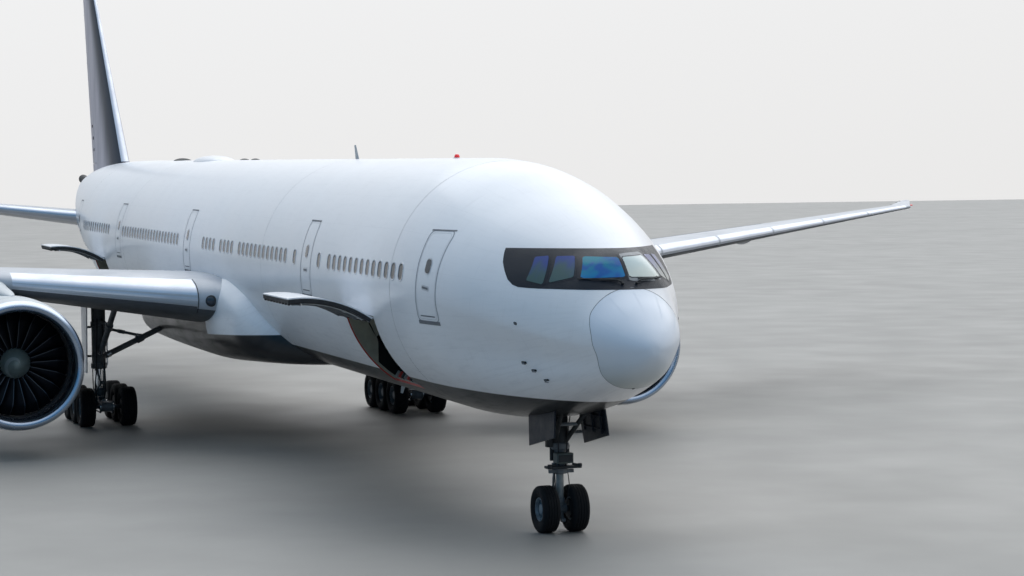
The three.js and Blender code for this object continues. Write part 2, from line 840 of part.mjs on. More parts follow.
const nacelle = turned(NACELLE_OUTLINE, 0, 0, FAN_SIDES);
const core = makeCore();
const fan = makeFan();
let pylon = loft(PYLON_SECTIONS.map(pylonRing));
pylon = pylon.subtract(shifted(nacelle, 0, 0, SEAM)).subtract(nacelle);
const engineOffset = [0, ENGINE_Y * METRE, ENGINE_Z * METRE];
pylon = pylon.translate(engineOffset).subtract(fatWing).subtract(shifted(wholeWing, 0, 0, 0.4));

// Tail surfaces

const finRoot = { station: 62.4, y: 0, z: 9.0, chord: 8.9, thickness: 0.1 };
const finTip = { station: 71.35, y: 0, z: 18.5, chord: 2.51, thickness: 0.09 };
const SIDE = new THREE.Vector3(0, 1, 0);
const wholeFin = loft([finRoot, finTip].map((row) => aerofoilRing(row, SIDE)));
const rudderCut = hinged(wholeFin, finRoot, finTip, { from: 0.03, to: 0.96, fraction: 0.7 });

const stabiliserRoot = { station: 63.0, y: 1.2, z: 6.72, chord: 7.6, thickness: 0.1 };
const stabiliserTip = { station: 71.0, y: 10.77, z: 7.9, chord: 2.5, thickness: 0.09 };
const wholeStabiliser = loft([stabiliserRoot, stabiliserTip].map((row) => aerofoilRing(row, UP)));
const elevatorCut = hinged(wholeStabiliser, stabiliserRoot, stabiliserTip, { from: 0.12, to: 0.95, fraction: 0.7 });
const elevator = elevatorCut.surface;

// The rudder's foot stands clear of the tail's crown over its whole travel.
const RUDDER_FOOT_GAP = 0.06;
const fatTail = withMirror(barrel(53.3, 73.08, SEAM));
const fin = rudderCut.body.subtract(fatTail);
const rudder = rudderCut.surface.subtract(withMirror(barrel(53.3, 73.08, RUDDER_FOOT_GAP)));

// The stabiliser turns on a stub that reaches to the middle of the tail. Its root clears the tail as it turns.
const TRIM_STUB_RADIUS = 0.12;
const trimPivot = place(TRIM_PIVOT_S, 0, TRIM_PIVOT_Z);
const tailToClear = withMirror(barrel(61.0, 73.08, RUNNING_GAP));
const sweptTail = union(TRIM_TURNS.map((turn) => turnAbout(tailToClear, trimPivot, SIDE, -turn)));
const stubAt = (y) => place(TRIM_PIVOT_S, y, TRIM_PIVOT_Z);
const stabiliser = elevatorCut.body.subtract(sweptTail)
  .add(bar(stubAt(SEAM / 2), stubAt(1.7), TRIM_STUB_RADIUS));
const TRIM_BORE_SIDES = 18;
const trimBoreRadius = (TRIM_STUB_RADIUS + SEAM) / Math.cos(Math.PI / TRIM_BORE_SIDES);
const trimBore = bar(stubAt(-1.9), stubAt(1.9), trimBoreRadius, trimBoreRadius, TRIM_BORE_SIDES);
fuselage.tail_section = fuselage.tail_section.subtract(trimBore);

// Landing gear

// One wheel's outline, from its inner sidewall over the tread to the end of its hub.
// Columns: distance out from the wheel's middle in half widths, radius in tyre radii.
const WHEEL_OUTLINE = [
  [-1.0, 0.74],
  [-0.88, 0.92],
  [-0.55, 1.0],
  [0.55, 1.0],
  [0.88, 0.92],
  [1.0, 0.74],
  [0.7, 0.5],
  [0.25, 0.44],
  [0.25, 0.22],
  [0.6, 0.16],
];

const HUB_INNER_FACE = 0.31;

// Two wheels on one axle, about the origin, with a flat of each tyre downwards.
function wheelPair(radius, width, wheelY, axleRadius) {
  const apothem = Math.cos(Math.PI / TYRE_SIDES);
  const outer = WHEEL_OUTLINE.map(([across, r]) => [wheelY + (across * width) / 2, (r * radius) / apothem]);
  const half = [[wheelY - HUB_INNER_FACE * width, axleRadius], ...outer, [outer.at(-1)[0], 0]];
  const whole = [...half.toReversed().map(([y, r]) => [-y, r]), ...half];
  const outline = whole.map(([y, r]) => new THREE.Vector2(r * METRE, y * METRE));
  return toSolid(new THREE.LatheGeometry(outline, TYRE_SIDES, Math.PI / TYRE_SIDES));
}

function atPlace(solid, station, y, z) {
  const spot = place(station, y, z);
  return solid.translate([spot.x, spot.y, spot.z]);
}

const AXLE_RADIUS = 0.07;
const BORE_SIDES = 16;
const BORE_RADIUS = (AXLE_RADIUS + SEAM) / Math.cos(Math.PI / BORE_SIDES);

function bearing(station, y, z, halfLength, radius) {
  return bar(place(station, y - halfLength, z), place(station, y + halfLength, z), radius, radius, 16);
}

function bore(station, y, z) {
  return bar(place(station, y - 1, z), place(station, y + 1, z), BORE_RADIUS, BORE_RADIUS, BORE_SIDES);
}

// Nose gear

const NOSE_AXLE_Z = NOSE_TYRE_RADIUS;
const STEER_Z = 1.5;
const noseTop = datum(NOSE_GEAR_S) - 2.6;
const NOSE_CYLINDER_RADIUS = 0.15;
const NOSE_PISTON_RADIUS = 0.09;
const NOSE_KNEE = [NOSE_GEAR_S + 0.36, 1.0];

// A slim rod between two places given as station, y and z.
function rod(start, end, radius, sides = 8) {
  return bar(place(...start), place(...end), radius, radius, sides);
}

const noseBelly = withMirror(barrel(2.7, 9.2, SEAM));
const taxiLights = [-1, 1].map((side) => bar(
  place(NOSE_GEAR_S - 0.14, side * 0.14, 1.76),
  place(NOSE_GEAR_S - 0.36, side * 0.14, 1.74),
  0.07,
  0.09,
  10,
));
const noseLeg = union([
  bar(place(NOSE_GEAR_S, 0, STEER_Z + SEAM), place(NOSE_GEAR_S, 0, noseTop), NOSE_CYLINDER_RADIUS),
  bar(place(NOSE_GEAR_S, 0, STEER_Z + 0.5), place(NOSE_GEAR_S, 0, noseTop), 0.2),
  box([NOSE_GEAR_S - 0.3, -0.2, 1.6], [NOSE_GEAR_S, 0.2, 1.68]),
  ...taxiLights,
  ...[-1, 1].map((side) => rod([NOSE_GEAR_S, side * 0.12, 2.05], [NOSE_GEAR_S - 1.2, side * 0.34, 3.05], 0.055)),
  rod([NOSE_GEAR_S - 0.62, -0.24, 2.55], [NOSE_GEAR_S - 0.62, 0.24, 2.55], 0.04),
  rod([NOSE_GEAR_S, -0.44, 2.3], [NOSE_GEAR_S, 0.44, 2.3], 0.035),
]).subtract(noseBelly);
const noseFork = union([
  bar(place(NOSE_GEAR_S, 0, STEER_Z), place(NOSE_GEAR_S, 0, STEER_Z - 0.14), 0.19),
  bar(place(NOSE_GEAR_S, 0, STEER_Z), place(NOSE_GEAR_S, 0, NOSE_AXLE_Z), NOSE_PISTON_RADIUS),
  bearing(NOSE_GEAR_S, 0, NOSE_AXLE_Z, 0.13, 0.12),
  box([NOSE_GEAR_S - 0.14, -0.3, STEER_Z - 0.12], [NOSE_GEAR_S - 0.04, 0.3, STEER_Z - 0.04]),
  rod([NOSE_GEAR_S, 0, STEER_Z - 0.07], [NOSE_KNEE[0], 0, NOSE_KNEE[1]], 0.05),
  rod([NOSE_KNEE[0], 0, NOSE_KNEE[1]], [NOSE_GEAR_S, 0, NOSE_AXLE_Z + 0.08], 0.05),
  rod([NOSE_GEAR_S, 0, NOSE_AXLE_Z - 0.08], [NOSE_GEAR_S - 0.2, 0, 0.3], 0.045),
]).subtract(bore(NOSE_GEAR_S, 0, NOSE_AXLE_Z));

// A door on each side of the leg, hanging from the edge of its bay. The rod across the leg ends at it.
// Columns: station, height.
const NOSE_DOOR_OUTLINE = [
  [4.5, 3.2],
  [4.42, 2.34],
  [6.02, 2.02],
  [6.2, 3.2],
];
const NOSE_DOOR_TOP_Y = 0.56;
const NOSE_DOOR_BOTTOM_Y = 0.66;
const NOSE_DOOR_THICKNESS = 0.035;

function noseDoorRing(out) {
  const high = NOSE_DOOR_OUTLINE[0][1];
  const low = NOSE_DOOR_OUTLINE[2][1];
  return NOSE_DOOR_OUTLINE.map(([station, z]) => {
    const y = lerp(NOSE_DOOR_TOP_Y, NOSE_DOOR_BOTTOM_Y, (high - z) / (high - low));
    return place(station, y + out, z);
  });
}

const noseDoor = loft([noseDoorRing(0), noseDoorRing(NOSE_DOOR_THICKNESS)]).subtract(noseBelly);

// Main gear

const PIVOT_Z = MAIN_TYRE_RADIUS + 0.24;
const axleStations = [-1, 0, 1].map((step) => MAIN_GEAR_S + step * MAIN_AXLE_PITCH);
const AFT_PIVOT = MAIN_GEAR_S + 0.92;
const STEER_POST_HALF = 0.17;

const LEG_RADIUS = 0.24;
const MAIN_KNEE = [MAIN_GEAR_S - 0.62, 1.42];

// The brace to the side and the one to the front each have a knee, held by a thinner lock link.
let mainLeg = union([
  bar(place(MAIN_GEAR_S, MAIN_GEAR_Y, 1.9), place(MAIN_GEAR_S, MAIN_GEAR_Y, 4.9), LEG_RADIUS),
  bar(place(MAIN_GEAR_S, MAIN_GEAR_Y, PIVOT_Z + 0.06), place(MAIN_GEAR_S, MAIN_GEAR_Y, 2.0), 0.17),
  bearing(MAIN_GEAR_S, MAIN_GEAR_Y, PIVOT_Z + 0.14, 0.2, 0.13),
  rod([MAIN_GEAR_S, MAIN_GEAR_Y, 2.2], [MAIN_GEAR_S - 2.6, MAIN_GEAR_Y - 0.3, 4.6], 0.1, 10),
  rod([MAIN_GEAR_S, MAIN_GEAR_Y, 2.2], [MAIN_GEAR_S + 0.2, 2.4, 3.6], 0.1, 10),
  rod([MAIN_GEAR_S, MAIN_GEAR_Y, 3.5], [MAIN_GEAR_S - 1.35, MAIN_GEAR_Y - 0.15, 3.44], 0.05),
  rod([MAIN_GEAR_S, MAIN_GEAR_Y, 3.3], [MAIN_GEAR_S + 0.1, 3.9, 2.92], 0.05),
  rod([MAIN_GEAR_S, MAIN_GEAR_Y, 2.05], [MAIN_KNEE[0], MAIN_GEAR_Y, MAIN_KNEE[1]], 0.06),
  rod([MAIN_KNEE[0], MAIN_GEAR_Y, MAIN_KNEE[1]], [MAIN_GEAR_S, MAIN_GEAR_Y, PIVOT_Z + 0.14], 0.06),
]);

// The strut's own door is carried on two stays outboard of it.
const STRUT_DOOR_Y = MAIN_GEAR_Y + 0.46;
const STRUT_DOOR_THICKNESS = 0.04;
const strutDoorRing = (y) => [
  place(MAIN_GEAR_S - 0.42, y, 1.75),
  place(MAIN_GEAR_S + 0.42, y, 1.75),
  place(MAIN_GEAR_S + 0.62, y, 4.4),
  place(MAIN_GEAR_S - 0.62, y, 4.4),
];
const strutDoorBody = union([
  loft([strutDoorRing(STRUT_DOOR_Y), strutDoorRing(STRUT_DOOR_Y + STRUT_DOOR_THICKNESS)]),
  ...[2.3, 3.3].map((z) => rod([MAIN_GEAR_S, MAIN_GEAR_Y, z], [MAIN_GEAR_S, STRUT_DOOR_Y + 0.01, z], 0.04)),
]);
let bogieBeam = union([
  box(
    [axleStations[0] - 0.15, MAIN_GEAR_Y - 0.14, MAIN_TYRE_RADIUS - 0.14],
    [AFT_PIVOT - 0.2, MAIN_GEAR_Y + 0.14, MAIN_TYRE_RADIUS + 0.14],
  ),
  bar(
    place(MAIN_GEAR_S, MAIN_GEAR_Y, MAIN_TYRE_RADIUS),
    place(MAIN_GEAR_S, MAIN_GEAR_Y, PIVOT_Z + 0.01 - SEAM),
    0.18,
  ),
  ...[-1, 1].map((side) => box(
    [AFT_PIVOT - 0.4, MAIN_GEAR_Y - 0.14, MAIN_TYRE_RADIUS + side * (STEER_POST_HALF + SEAM)],
    [AFT_PIVOT + 0.12, MAIN_GEAR_Y + 0.14, MAIN_TYRE_RADIUS + side * (STEER_POST_HALF + 0.04)],
  )),
  box(
    [AFT_PIVOT - 0.4, MAIN_GEAR_Y - 0.14, MAIN_TYRE_RADIUS - STEER_POST_HALF - 0.04],
    [AFT_PIVOT - 0.2, MAIN_GEAR_Y + 0.14, MAIN_TYRE_RADIUS + STEER_POST_HALF + 0.04],
  ),
]);
const steerPost = bar(
  place(AFT_PIVOT, MAIN_GEAR_Y, MAIN_TYRE_RADIUS - STEER_POST_HALF),
  place(AFT_PIVOT, MAIN_GEAR_Y, MAIN_TYRE_RADIUS + STEER_POST_HALF),
  0.14,
);
let aftAxleBeam = union([
  steerPost,
  box(
    [AFT_PIVOT, MAIN_GEAR_Y - 0.1, MAIN_TYRE_RADIUS - 0.12],
    [axleStations[2] + 0.15, MAIN_GEAR_Y + 0.1, MAIN_TYRE_RADIUS + 0.12],
  ),
]);
for (const station of axleStations.slice(0, 2)) {
  bogieBeam = bogieBeam.subtract(bore(station, MAIN_GEAR_Y, MAIN_TYRE_RADIUS));
}
aftAxleBeam = aftAxleBeam.subtract(bore(axleStations[2], MAIN_GEAR_Y, MAIN_TYRE_RADIUS));
function belowWing(solid) {
  return solid.subtract(fatWing).subtract(shifted(wholeWing, 0, 0, 0.6));
}

mainLeg = belowWing(mainLeg).subtract(fairing).subtract(shifted(fairing, 0, SEAM, -SEAM));
const grownLeg = bar(
  place(MAIN_GEAR_S, MAIN_GEAR_Y, 1.9),
  place(MAIN_GEAR_S, MAIN_GEAR_Y, 4.9),
  LEG_RADIUS + 2 * SEAM,
);
const strutDoor = belowWing(strutDoorBody.subtract(grownLeg));

// Everything into the group

addMesh("radome", fuselage.radome, "white");
for (const [name, , , colour] of BARRELS) {
  addMesh(name, fuselage[name], colour);
}
addMesh("wing_fairing", fairing, "white");
addMesh("fin", fin, "black");
addMesh("rudder", rudder, "black");
for (const [side, flip] of [["left", (solid) => solid], ["right", mirror]]) {
  for (const [name, solid] of Object.entries(wingPieces)) {
    addMesh(`${name}_${side}`, flip(solid), "grey");
  }
  addMesh(`nacelle_${side}`, flip(nacelle.translate(engineOffset)), "white");
  addMesh(`engine_core_${side}`, flip(core.translate(engineOffset)), "steel");
  // Both fans turn the same way, so the starboard one isn't a mirror image.
  const axisY = side === "left" ? engineOffset[1] : -engineOffset[1];
  addMesh(`fan_${side}`, fan.translate([0, axisY, engineOffset[2]]), "steel");
  addMesh(`pylon_${side}`, flip(pylon), "white");
  addMesh(`stabiliser_${side}`, flip(stabiliser), "grey");
  addMesh(`elevator_${side}`, flip(elevator), "grey");
  addMesh(`main_leg_${side}`, flip(mainLeg), "steel");
  addMesh(`strut_door_${side}`, flip(strutDoor), "white");
  addMesh(`nose_gear_door_${side}`, flip(noseDoor), "black");
  addMesh(`bogie_beam_${side}`, flip(bogieBeam), "steel");
  addMesh(`aft_axle_beam_${side}`, flip(aftAxleBeam), "steel");
  for (const [i, station] of axleStations.entries()) {
    const name = ["front", "middle", "rear"][i];
    const pair = wheelPair(MAIN_TYRE_RADIUS, MAIN_TYRE_WIDTH, MAIN_WHEEL_Y, AXLE_RADIUS);
    addMesh(`${name}_wheels_${side}`, flip(atPlace(pair, station, MAIN_GEAR_Y, MAIN_TYRE_RADIUS)), "tyre");
  }
}
addMesh("nose_leg", noseLeg, "steel");
addMesh("nose_fork", noseFork, "steel");
addMesh(
  "nose_wheels",
  atPlace(wheelPair(NOSE_TYRE_RADIUS, NOSE_TYRE_WIDTH, NOSE_WHEEL_Y, AXLE_RADIUS), NOSE_GEAR_S, 0, NOSE_AXLE_Z),
  "tyre",
);

export default airliner;
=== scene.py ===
"""The looks of a long twin-engine wide body airliner at half scale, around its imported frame.

Sizes are full-size metres. place() turns a station aft of the nose tip, a distance to port and a height
above the ground into the half-scale frame. Angles round the fuselage start at port and run up over the crown.
"""

import math

import bmesh
import bpy
from mathutils import Matrix, Vector


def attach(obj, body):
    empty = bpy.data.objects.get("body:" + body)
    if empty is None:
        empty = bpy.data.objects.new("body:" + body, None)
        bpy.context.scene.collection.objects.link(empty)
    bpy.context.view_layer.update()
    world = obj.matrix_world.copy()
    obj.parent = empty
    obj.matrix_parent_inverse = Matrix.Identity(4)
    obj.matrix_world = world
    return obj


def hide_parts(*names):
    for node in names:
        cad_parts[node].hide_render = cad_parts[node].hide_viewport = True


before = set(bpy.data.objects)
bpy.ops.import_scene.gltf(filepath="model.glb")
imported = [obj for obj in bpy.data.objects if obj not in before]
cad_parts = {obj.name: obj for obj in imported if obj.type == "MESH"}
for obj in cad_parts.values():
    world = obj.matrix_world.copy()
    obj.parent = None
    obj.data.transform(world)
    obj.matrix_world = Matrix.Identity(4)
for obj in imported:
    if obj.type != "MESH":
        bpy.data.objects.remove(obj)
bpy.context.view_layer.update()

# Driving sizes

SCALE = 0.5
LENGTH = 73.86
DATUM_AT_NOSE = 5.46
DATUM_RISE = 0.012
RADIUS = 3.1
SIDES = (("left", 1), ("right", -1))

# Columns: station, half width, top, bottom, height of the widest place, all from the datum line.
SECTIONS = [
    (0.0, 0.03, -0.88, -0.94, -0.91),
    (0.1, 0.31, -0.64, -1.18, -0.91),
    (0.35, 0.6, -0.38, -1.42, -0.9),
    (0.75, 0.9, -0.06, -1.64, -0.88),
    (1.3, 1.14, 0.3, -1.82, -0.84),
    (2.0, 1.38, 0.95, -2.03, -0.78),
    (2.7, 1.66, 1.24, -2.22, -0.68),
    (3.5, 2.0, 1.55, -2.42, -0.56),
    (4.5, 2.36, 1.9, -2.65, -0.4),
    (5.5, 2.65, 2.21, -2.82, -0.26),
    (6.5, 2.83, 2.52, -2.94, -0.14),
    (7.7, 2.98, 2.83, -3.04, -0.05),
    (9.2, 3.07, 3.04, -3.1, 0.0),
    (10.6, 3.1, 3.1, -3.1, 0.0),
    (53.3, 3.1, 3.1, -3.1, 0.0),
    (54.6, 3.04, 3.1, -2.9, 0.06),
    (56.0, 2.91, 3.1, -2.52, 0.25),
    (60.0, 2.56, 3.06, -1.76, 0.6),
    (64.0, 2.04, 2.95, -0.84, 1.05),
    (68.0, 1.34, 2.66, 0.2, 1.5),
    (71.0, 0.68, 2.44, 1.1, 1.88),
    (73.08, 0.14, 2.28, 1.8, 2.08),
]


def place(station, y, z):
    return Vector(((LENGTH / 2 - station) * SCALE, y * SCALE, z * SCALE))


def datum(station):
    return DATUM_AT_NOSE + DATUM_RISE * station


def lerp(a, b, t):
    return a + (b - a) * t


def clamp(value, low, high):
    return max(low, min(high, value))


def spread(low, high, count):
    """count + 1 evenly spaced numbers from low to high."""
    return [lerp(low, high, i / count) for i in range(count + 1)]


def full_turn(count):
    """Evenly spaced angles once round."""
    return [2 * math.pi * k / count for k in range(count)]


# Smooth curves through the section table

class Curve:
    """A cubic through given points that never swings past them."""

    def __init__(self, xs, ys):
        self.xs, self.ys = list(xs), list(ys)
        widths = [b - a for a, b in zip(self.xs, self.xs[1:])]
        rates = [(b - a) / w for a, b, w in zip(self.ys, self.ys[1:], widths)]
        self.slopes = [rates[0]]
        for i in range(1, len(rates)):
            if rates[i - 1] * rates[i] <= 0:
                self.slopes.append(0.0)
                continue
            one = 2 * widths[i] + widths[i - 1]
            two = widths[i] + 2 * widths[i - 1]
            self.slopes.append((one + two) / (one / rates[i - 1] + two / rates[i]))
        self.slopes.append(rates[-1])

    def __call__(self, x):
        xs, ys, slopes = self.xs, self.ys, self.slopes
        x = clamp(x, xs[0], xs[-1])
        i = 0
        while i < len(xs) - 2 and x > xs[i + 1]:
            i += 1
        width = xs[i + 1] - xs[i]
        t = (x - xs[i]) / width
        square, cube = t * t, t * t * t
        return (
            (2 * cube - 3 * square + 1) * ys[i]
            + (cube - 2 * square + t) * width * slopes[i]
            + (3 * square - 2 * cube) * ys[i + 1]
            + (cube - square) * width * slopes[i + 1]
        )


def columns(table, *wanted):
    """A curve for each wanted column of a table, over its first column."""
    return [Curve([row[0] for row in table], [row[k] for row in table]) for k in wanted]


ROOTS = [math.sqrt(row[0]) for row in SECTIONS]
SECTION_CURVES = [Curve(ROOTS, [row[k] for row in SECTIONS]) for k in range(1, 5)]
section_cache = {}


def section(station):
    """Half width, top, bottom and widest height of the fuselage at a station."""
    key = round(station, 5)
    if key not in section_cache:
        root = math.sqrt(clamp(station, 0, SECTIONS[-1][0]))
        section_cache[key] = [curve(root) for curve in SECTION_CURVES]
    return section_cache[key]


CHEEKS_END = 8.2
# The nose's lower quarters are a little narrower than an ellipse. How much, by station.
CHEEKS = Curve((0.0, 0.5, 1.0, 2.0, 3.0, 4.5, 6.0, 7.2, CHEEKS_END),
               (0.13, 0.15, 0.16, 0.14, 0.13, 0.11, 0.06, 0.02, 0.0))
# How that is shared out down a section, from a little above its widest place to its lowest: first
# for the radome, then for the skin behind it.
TIP_SHAPE = Curve((-0.5, -0.25, 0.0, 0.1, 0.2, 0.3, 0.4, 0.5, 0.6, 0.7, 0.85, 1.0),
                  (0.0, 0.18, 0.5, 0.66, 0.82, 0.94, 1.0, 1.0, 0.95, 0.86, 0.6, 0.0))
CHEEK_SHAPE = Curve((-0.25, 0.0, 0.1, 0.2, 0.3, 0.4, 0.5, 0.6, 0.7, 0.85, 1.0),
                    (0.0, 0.14, 0.4, 0.68, 0.9, 1.0, 0.88, 0.66, 0.46, 0.2, 0.0))
# The stations between which the first turns into the second.
TIP_SHAPE_END, CHEEK_SHAPE_START = 1.0, 2.6


def fullness(station, angle):
    """How much of an ellipse's width the skin keeps."""
    down = -math.sin(angle)
    if station >= CHEEKS_END or down <= -0.5:
        return 1.0
    aft = clamp((station - TIP_SHAPE_END) / (CHEEK_SHAPE_START - TIP_SHAPE_END), 0, 1)
    return 1.0 - CHEEKS(station) * lerp(TIP_SHAPE(down), CHEEK_SHAPE(down), aft)


def half_section(station, upper):
    """Half width, widest height, and how far the upper or the lower half reaches from there."""
    half_width, top, bottom, widest = section(station)
    return half_width, widest, (top - widest if upper else widest - bottom)


def raw_skin(station, angle):
    half_width, widest, rise = half_section(station, math.sin(angle) > 0)
    return place(
        station,
        half_width * math.cos(angle) * fullness(station, angle),
        datum(station) + widest + rise * math.sin(angle),
    )


def skin(station, angle, out=0.0):
    """A point on the fuselage, or out from it along its own normal."""
    point = raw_skin(station, angle)
    if not out:
        return point
    step = 0.01
    low = max(station - step, 0.001)
    along = raw_skin(low + 2 * step, angle) - raw_skin(low, angle)
    round_ = raw_skin(station, angle + step) - raw_skin(station, angle - step)
    normal = along.cross(round_).normalized()
    middle = place(station, 0, datum(station) + section(station)[3])
    if normal.dot(point - middle) < 0:
        normal.negate()
    return point + normal * (out * SCALE)


def skin_angle(station, z, side):
    """The angle round the fuselage at which its side is at a height."""
    height = z - datum(station) - section(station)[3]
    angle = math.asin(clamp(height / half_section(station, height > 0)[2], -1, 1))
    return angle if side > 0 else math.pi - angle


# Building meshes

CORNER_CUT = 0.7


def square_to(axis):
    """A direction square to an axis."""
    helper = Vector((0, 0, 1)) if abs(axis.z) < 0.9 else Vector((1, 0, 0))
    return axis.cross(helper).normalized()


def circle(centre, across, up, radius, sides):
    return [centre + (across * math.cos(a) + up * math.sin(a)) * (radius * SCALE) for a in full_turn(sides)]


class Form:
    """Points and faces of one piece, with a material number for each face."""

    def __init__(self):
        self.points, self.faces, self.kinds = [], [], []

    def grid(self, rows, kind=0, around=False, keep=None):
        base, count = len(self.points), len(rows[0])
        for row in rows:
            self.points.extend(row)
        for r in range(len(rows) - 1):
            for c in range(count if around else count - 1):
                if keep and not keep(r, c):
                    continue
                a, b = base + r * count + c, base + r * count + (c + 1) % count
                self.faces.append((a, b, b + count, a + count))
                self.kinds.append(kind)

    def face(self, points, kind=0):
        base = len(self.points)
        self.points.extend(points)
        self.faces.append(tuple(range(base, base + len(points))))
        self.kinds.append(kind)

    def loft(self, rings, kind=0):
        """Rings joined up, with a face over each end."""
        self.grid(rings, kind, around=True)
        self.face(rings[0], kind)
        self.face(rings[-1], kind)

    def tube(self, path, radius, sides=16, kind=0):
        """A round bar along a path. The radius is one number or one for each point."""
        path = [Vector(point) for point in path]
        radii = radius if isinstance(radius, (list, tuple)) else [radius] * len(path)
        across = square_to((path[1] - path[0]).normalized())
        rings = []
        for i, point in enumerate(path):
            before, after = path[max(i - 1, 0)], path[min(i + 1, len(path) - 1)]
            ahead = (after - before).normalized()
            across = (across - ahead * across.dot(ahead)).normalized()
            rings.append(circle(point, across, ahead.cross(across), radii[i], sides))
        self.loft(rings, kind)

    def rod(self, start, end, radius, sides=16, kind=0):
        """A straight round bar between two places given as station, y and z."""
        self.tube([place(*start), place(*end)], radius, sides, kind)

    def turned(self, outline, origin, axis, sides=48, kind=0):
        """A body of revolution. The outline's columns: distance along the axis, radius."""
        axis = Vector(axis).normalized()
        across = square_to(axis)
        up = axis.cross(across)
        rows = [circle(origin + axis * (along * SCALE), across, up, radius, sides)
                for along, radius in outline]
        self.grid(rows, kind, around=True)

    def box(self, low, high, kind=0, bevel=0.0):
        """A box between two corners given as station, y and z, with cut corners if it has a bevel."""
        (s0, y0, z0), (s1, y1, z1) = low, high
        if not bevel:
            corners = ((y0, z0), (y1, z0), (y1, z1), (y0, z1))
            self.loft([[place(s, y, z) for y, z in corners] for s in (s0, s1)], kind)
            return
        rings = []
        step, cut = math.copysign(bevel, s1 - s0), bevel * CORNER_CUT
        for s, inset in ((s0, bevel), (s0 + step, 0.0), (s1 - step, 0.0), (s1, bevel)):
            a, b, c, d = y0 + inset, y1 - inset, z0 + inset, z1 - inset
            rings.append([place(s, y, z) for y, z in (
                (a + cut, c), (b - cut, c), (b, c + cut), (b, d - cut),
                (b - cut, d), (a + cut, d), (a, d - cut), (a, c + cut))])
        self.loft(rings, kind)

    def mirrored(self):
        """The same form on the other side."""
        other = Form()
        other.points = [Vector((p.x, -p.y, p.z)) for p in self.points]
        other.faces = [face[::-1] for face in self.faces]
        other.kinds = list(self.kinds)
        return other

    def on_side(self, side):
        return self if side > 0 else self.mirrored()

    def add(self, other):
        base = len(self.points)
        self.points.extend(other.points)
        self.faces.extend(tuple(i + base for i in face) for face in other.faces)
        self.kinds.extend(other.kinds)


def piece(name, form, body, materials, replaces=(), sharp=32, outward=True):
    """Makes a form into an object that rides on a body."""
    data = bpy.data.meshes.new(name)
    data.from_pydata([tuple(point) for point in form.points], [], form.faces)
    for material in materials:
        data.materials.append(material)
    data.polygons.foreach_set("material_index", form.kinds)
    work = bmesh.new()
    work.from_mesh(data)
    bmesh.ops.remove_doubles(work, verts=work.verts, dist=2e-5)
    bmesh.ops.dissolve_degenerate(work, edges=work.edges, dist=1e-6)
    if outward:
        bmesh.ops.recalc_face_normals(work, faces=work.faces)
    work.to_mesh(data)
    work.free()
    data.shade_smooth()
    data.set_sharp_from_angle(angle=math.radians(sharp))
    data.update()
    made = bpy.data.objects.new(name, data)
    bpy.context.scene.collection.objects.link(made)
    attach(made, body)
    if replaces:
        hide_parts(*replaces)
    return made


def sided(*parts):
    """Makes each part on both sides. A star in a body's or a node's name stands for the side's name."""
    for label, side in SIDES:
        for name, form, body, slot, materials, node, sharp in parts:
            piece(f"{name}_{label}", form.on_side(side), body.replace("*", label), materials,
                  [node.replace("*", label)] if node else (), sharp)


# Materials

class Nodes:
    """A short way to write the node tree of a material or of the world."""

    def __init__(self, name, world=False):
        self.owner = (bpy.data.worlds if world else bpy.data.materials).new(name)
        self.owner.use_nodes = True
        self.tree = self.owner.node_tree
        self.shader = self.tree.nodes["Background" if world else "Principled BSDF"]

    def add(self, kind, inputs=None, **settings):
        node = self.tree.nodes.new(kind)
        for key, value in settings.items():
            setattr(node, key, value)
        for key, value in (inputs or {}).items():
            self.feed(node.inputs[key], value)
        return node

    def feed(self, socket, value):
        if isinstance(value, bpy.types.NodeSocket):
            self.tree.links.new(value, socket)
        else:
            socket.default_value = value

    def set(self, **inputs):
        for key, value in inputs.items():
            self.feed(self.shader.inputs[key.replace("_", " ")], value)

    def coords(self):
        return self.add("ShaderNodeTexCoord").outputs["Object"]

    def split(self, vector):
        return self.add("ShaderNodeSeparateXYZ", {0: vector}).outputs

    def join(self, x, y, z):
        return self.add("ShaderNodeCombineXYZ", {0: x, 1: y, 2: z}).outputs[0]

    def math(self, operation, a, b=0.0, c=0.0):
        return self.add("ShaderNodeMath", {0: a, 1: b, 2: c}, operation=operation).outputs[0]

    def noise(self, vector, scale, detail=3.0, rough=0.5):
        settings = {"Vector": vector, "Scale": scale, "Detail": detail, "Roughness": rough}
        return self.add("ShaderNodeTexNoise", settings).outputs["Fac"]

    def stretch(self, vector, x, y, z):
        return self.add("ShaderNodeMapping", {"Vector": vector, "Scale": (x, y, z)}).outputs[0]

    def remap(self, value, low, high, new_low, new_high, smooth=False):
        made = self.add(
            "ShaderNodeMapRange",
            {"Value": value, "From Min": low, "From Max": high, "To Min": new_low, "To Max": new_high},
            interpolation_type="SMOOTHSTEP" if smooth else "LINEAR",
        )
        return made.outputs[0]

    def mix(self, factor, a, b, blend="MIX"):
        made = self.add("ShaderNodeMix", data_type="RGBA", blend_type=blend)
        colours = [socket for socket in made.inputs if socket.type == "RGBA"]
        self.feed(made.inputs[0], factor)
        self.feed(colours[0], a)
        self.feed(colours[1], b)
        return [socket for socket in made.outputs if socket.type == "RGBA"][0]

    def bump(self, height, strength, distance):
        made = self.add("ShaderNodeBump", {"Height": height, "Strength": strength, "Distance": distance})
        return made.outputs[0]


def rgb(r, g, b):
    return (r, g, b, 1.0)


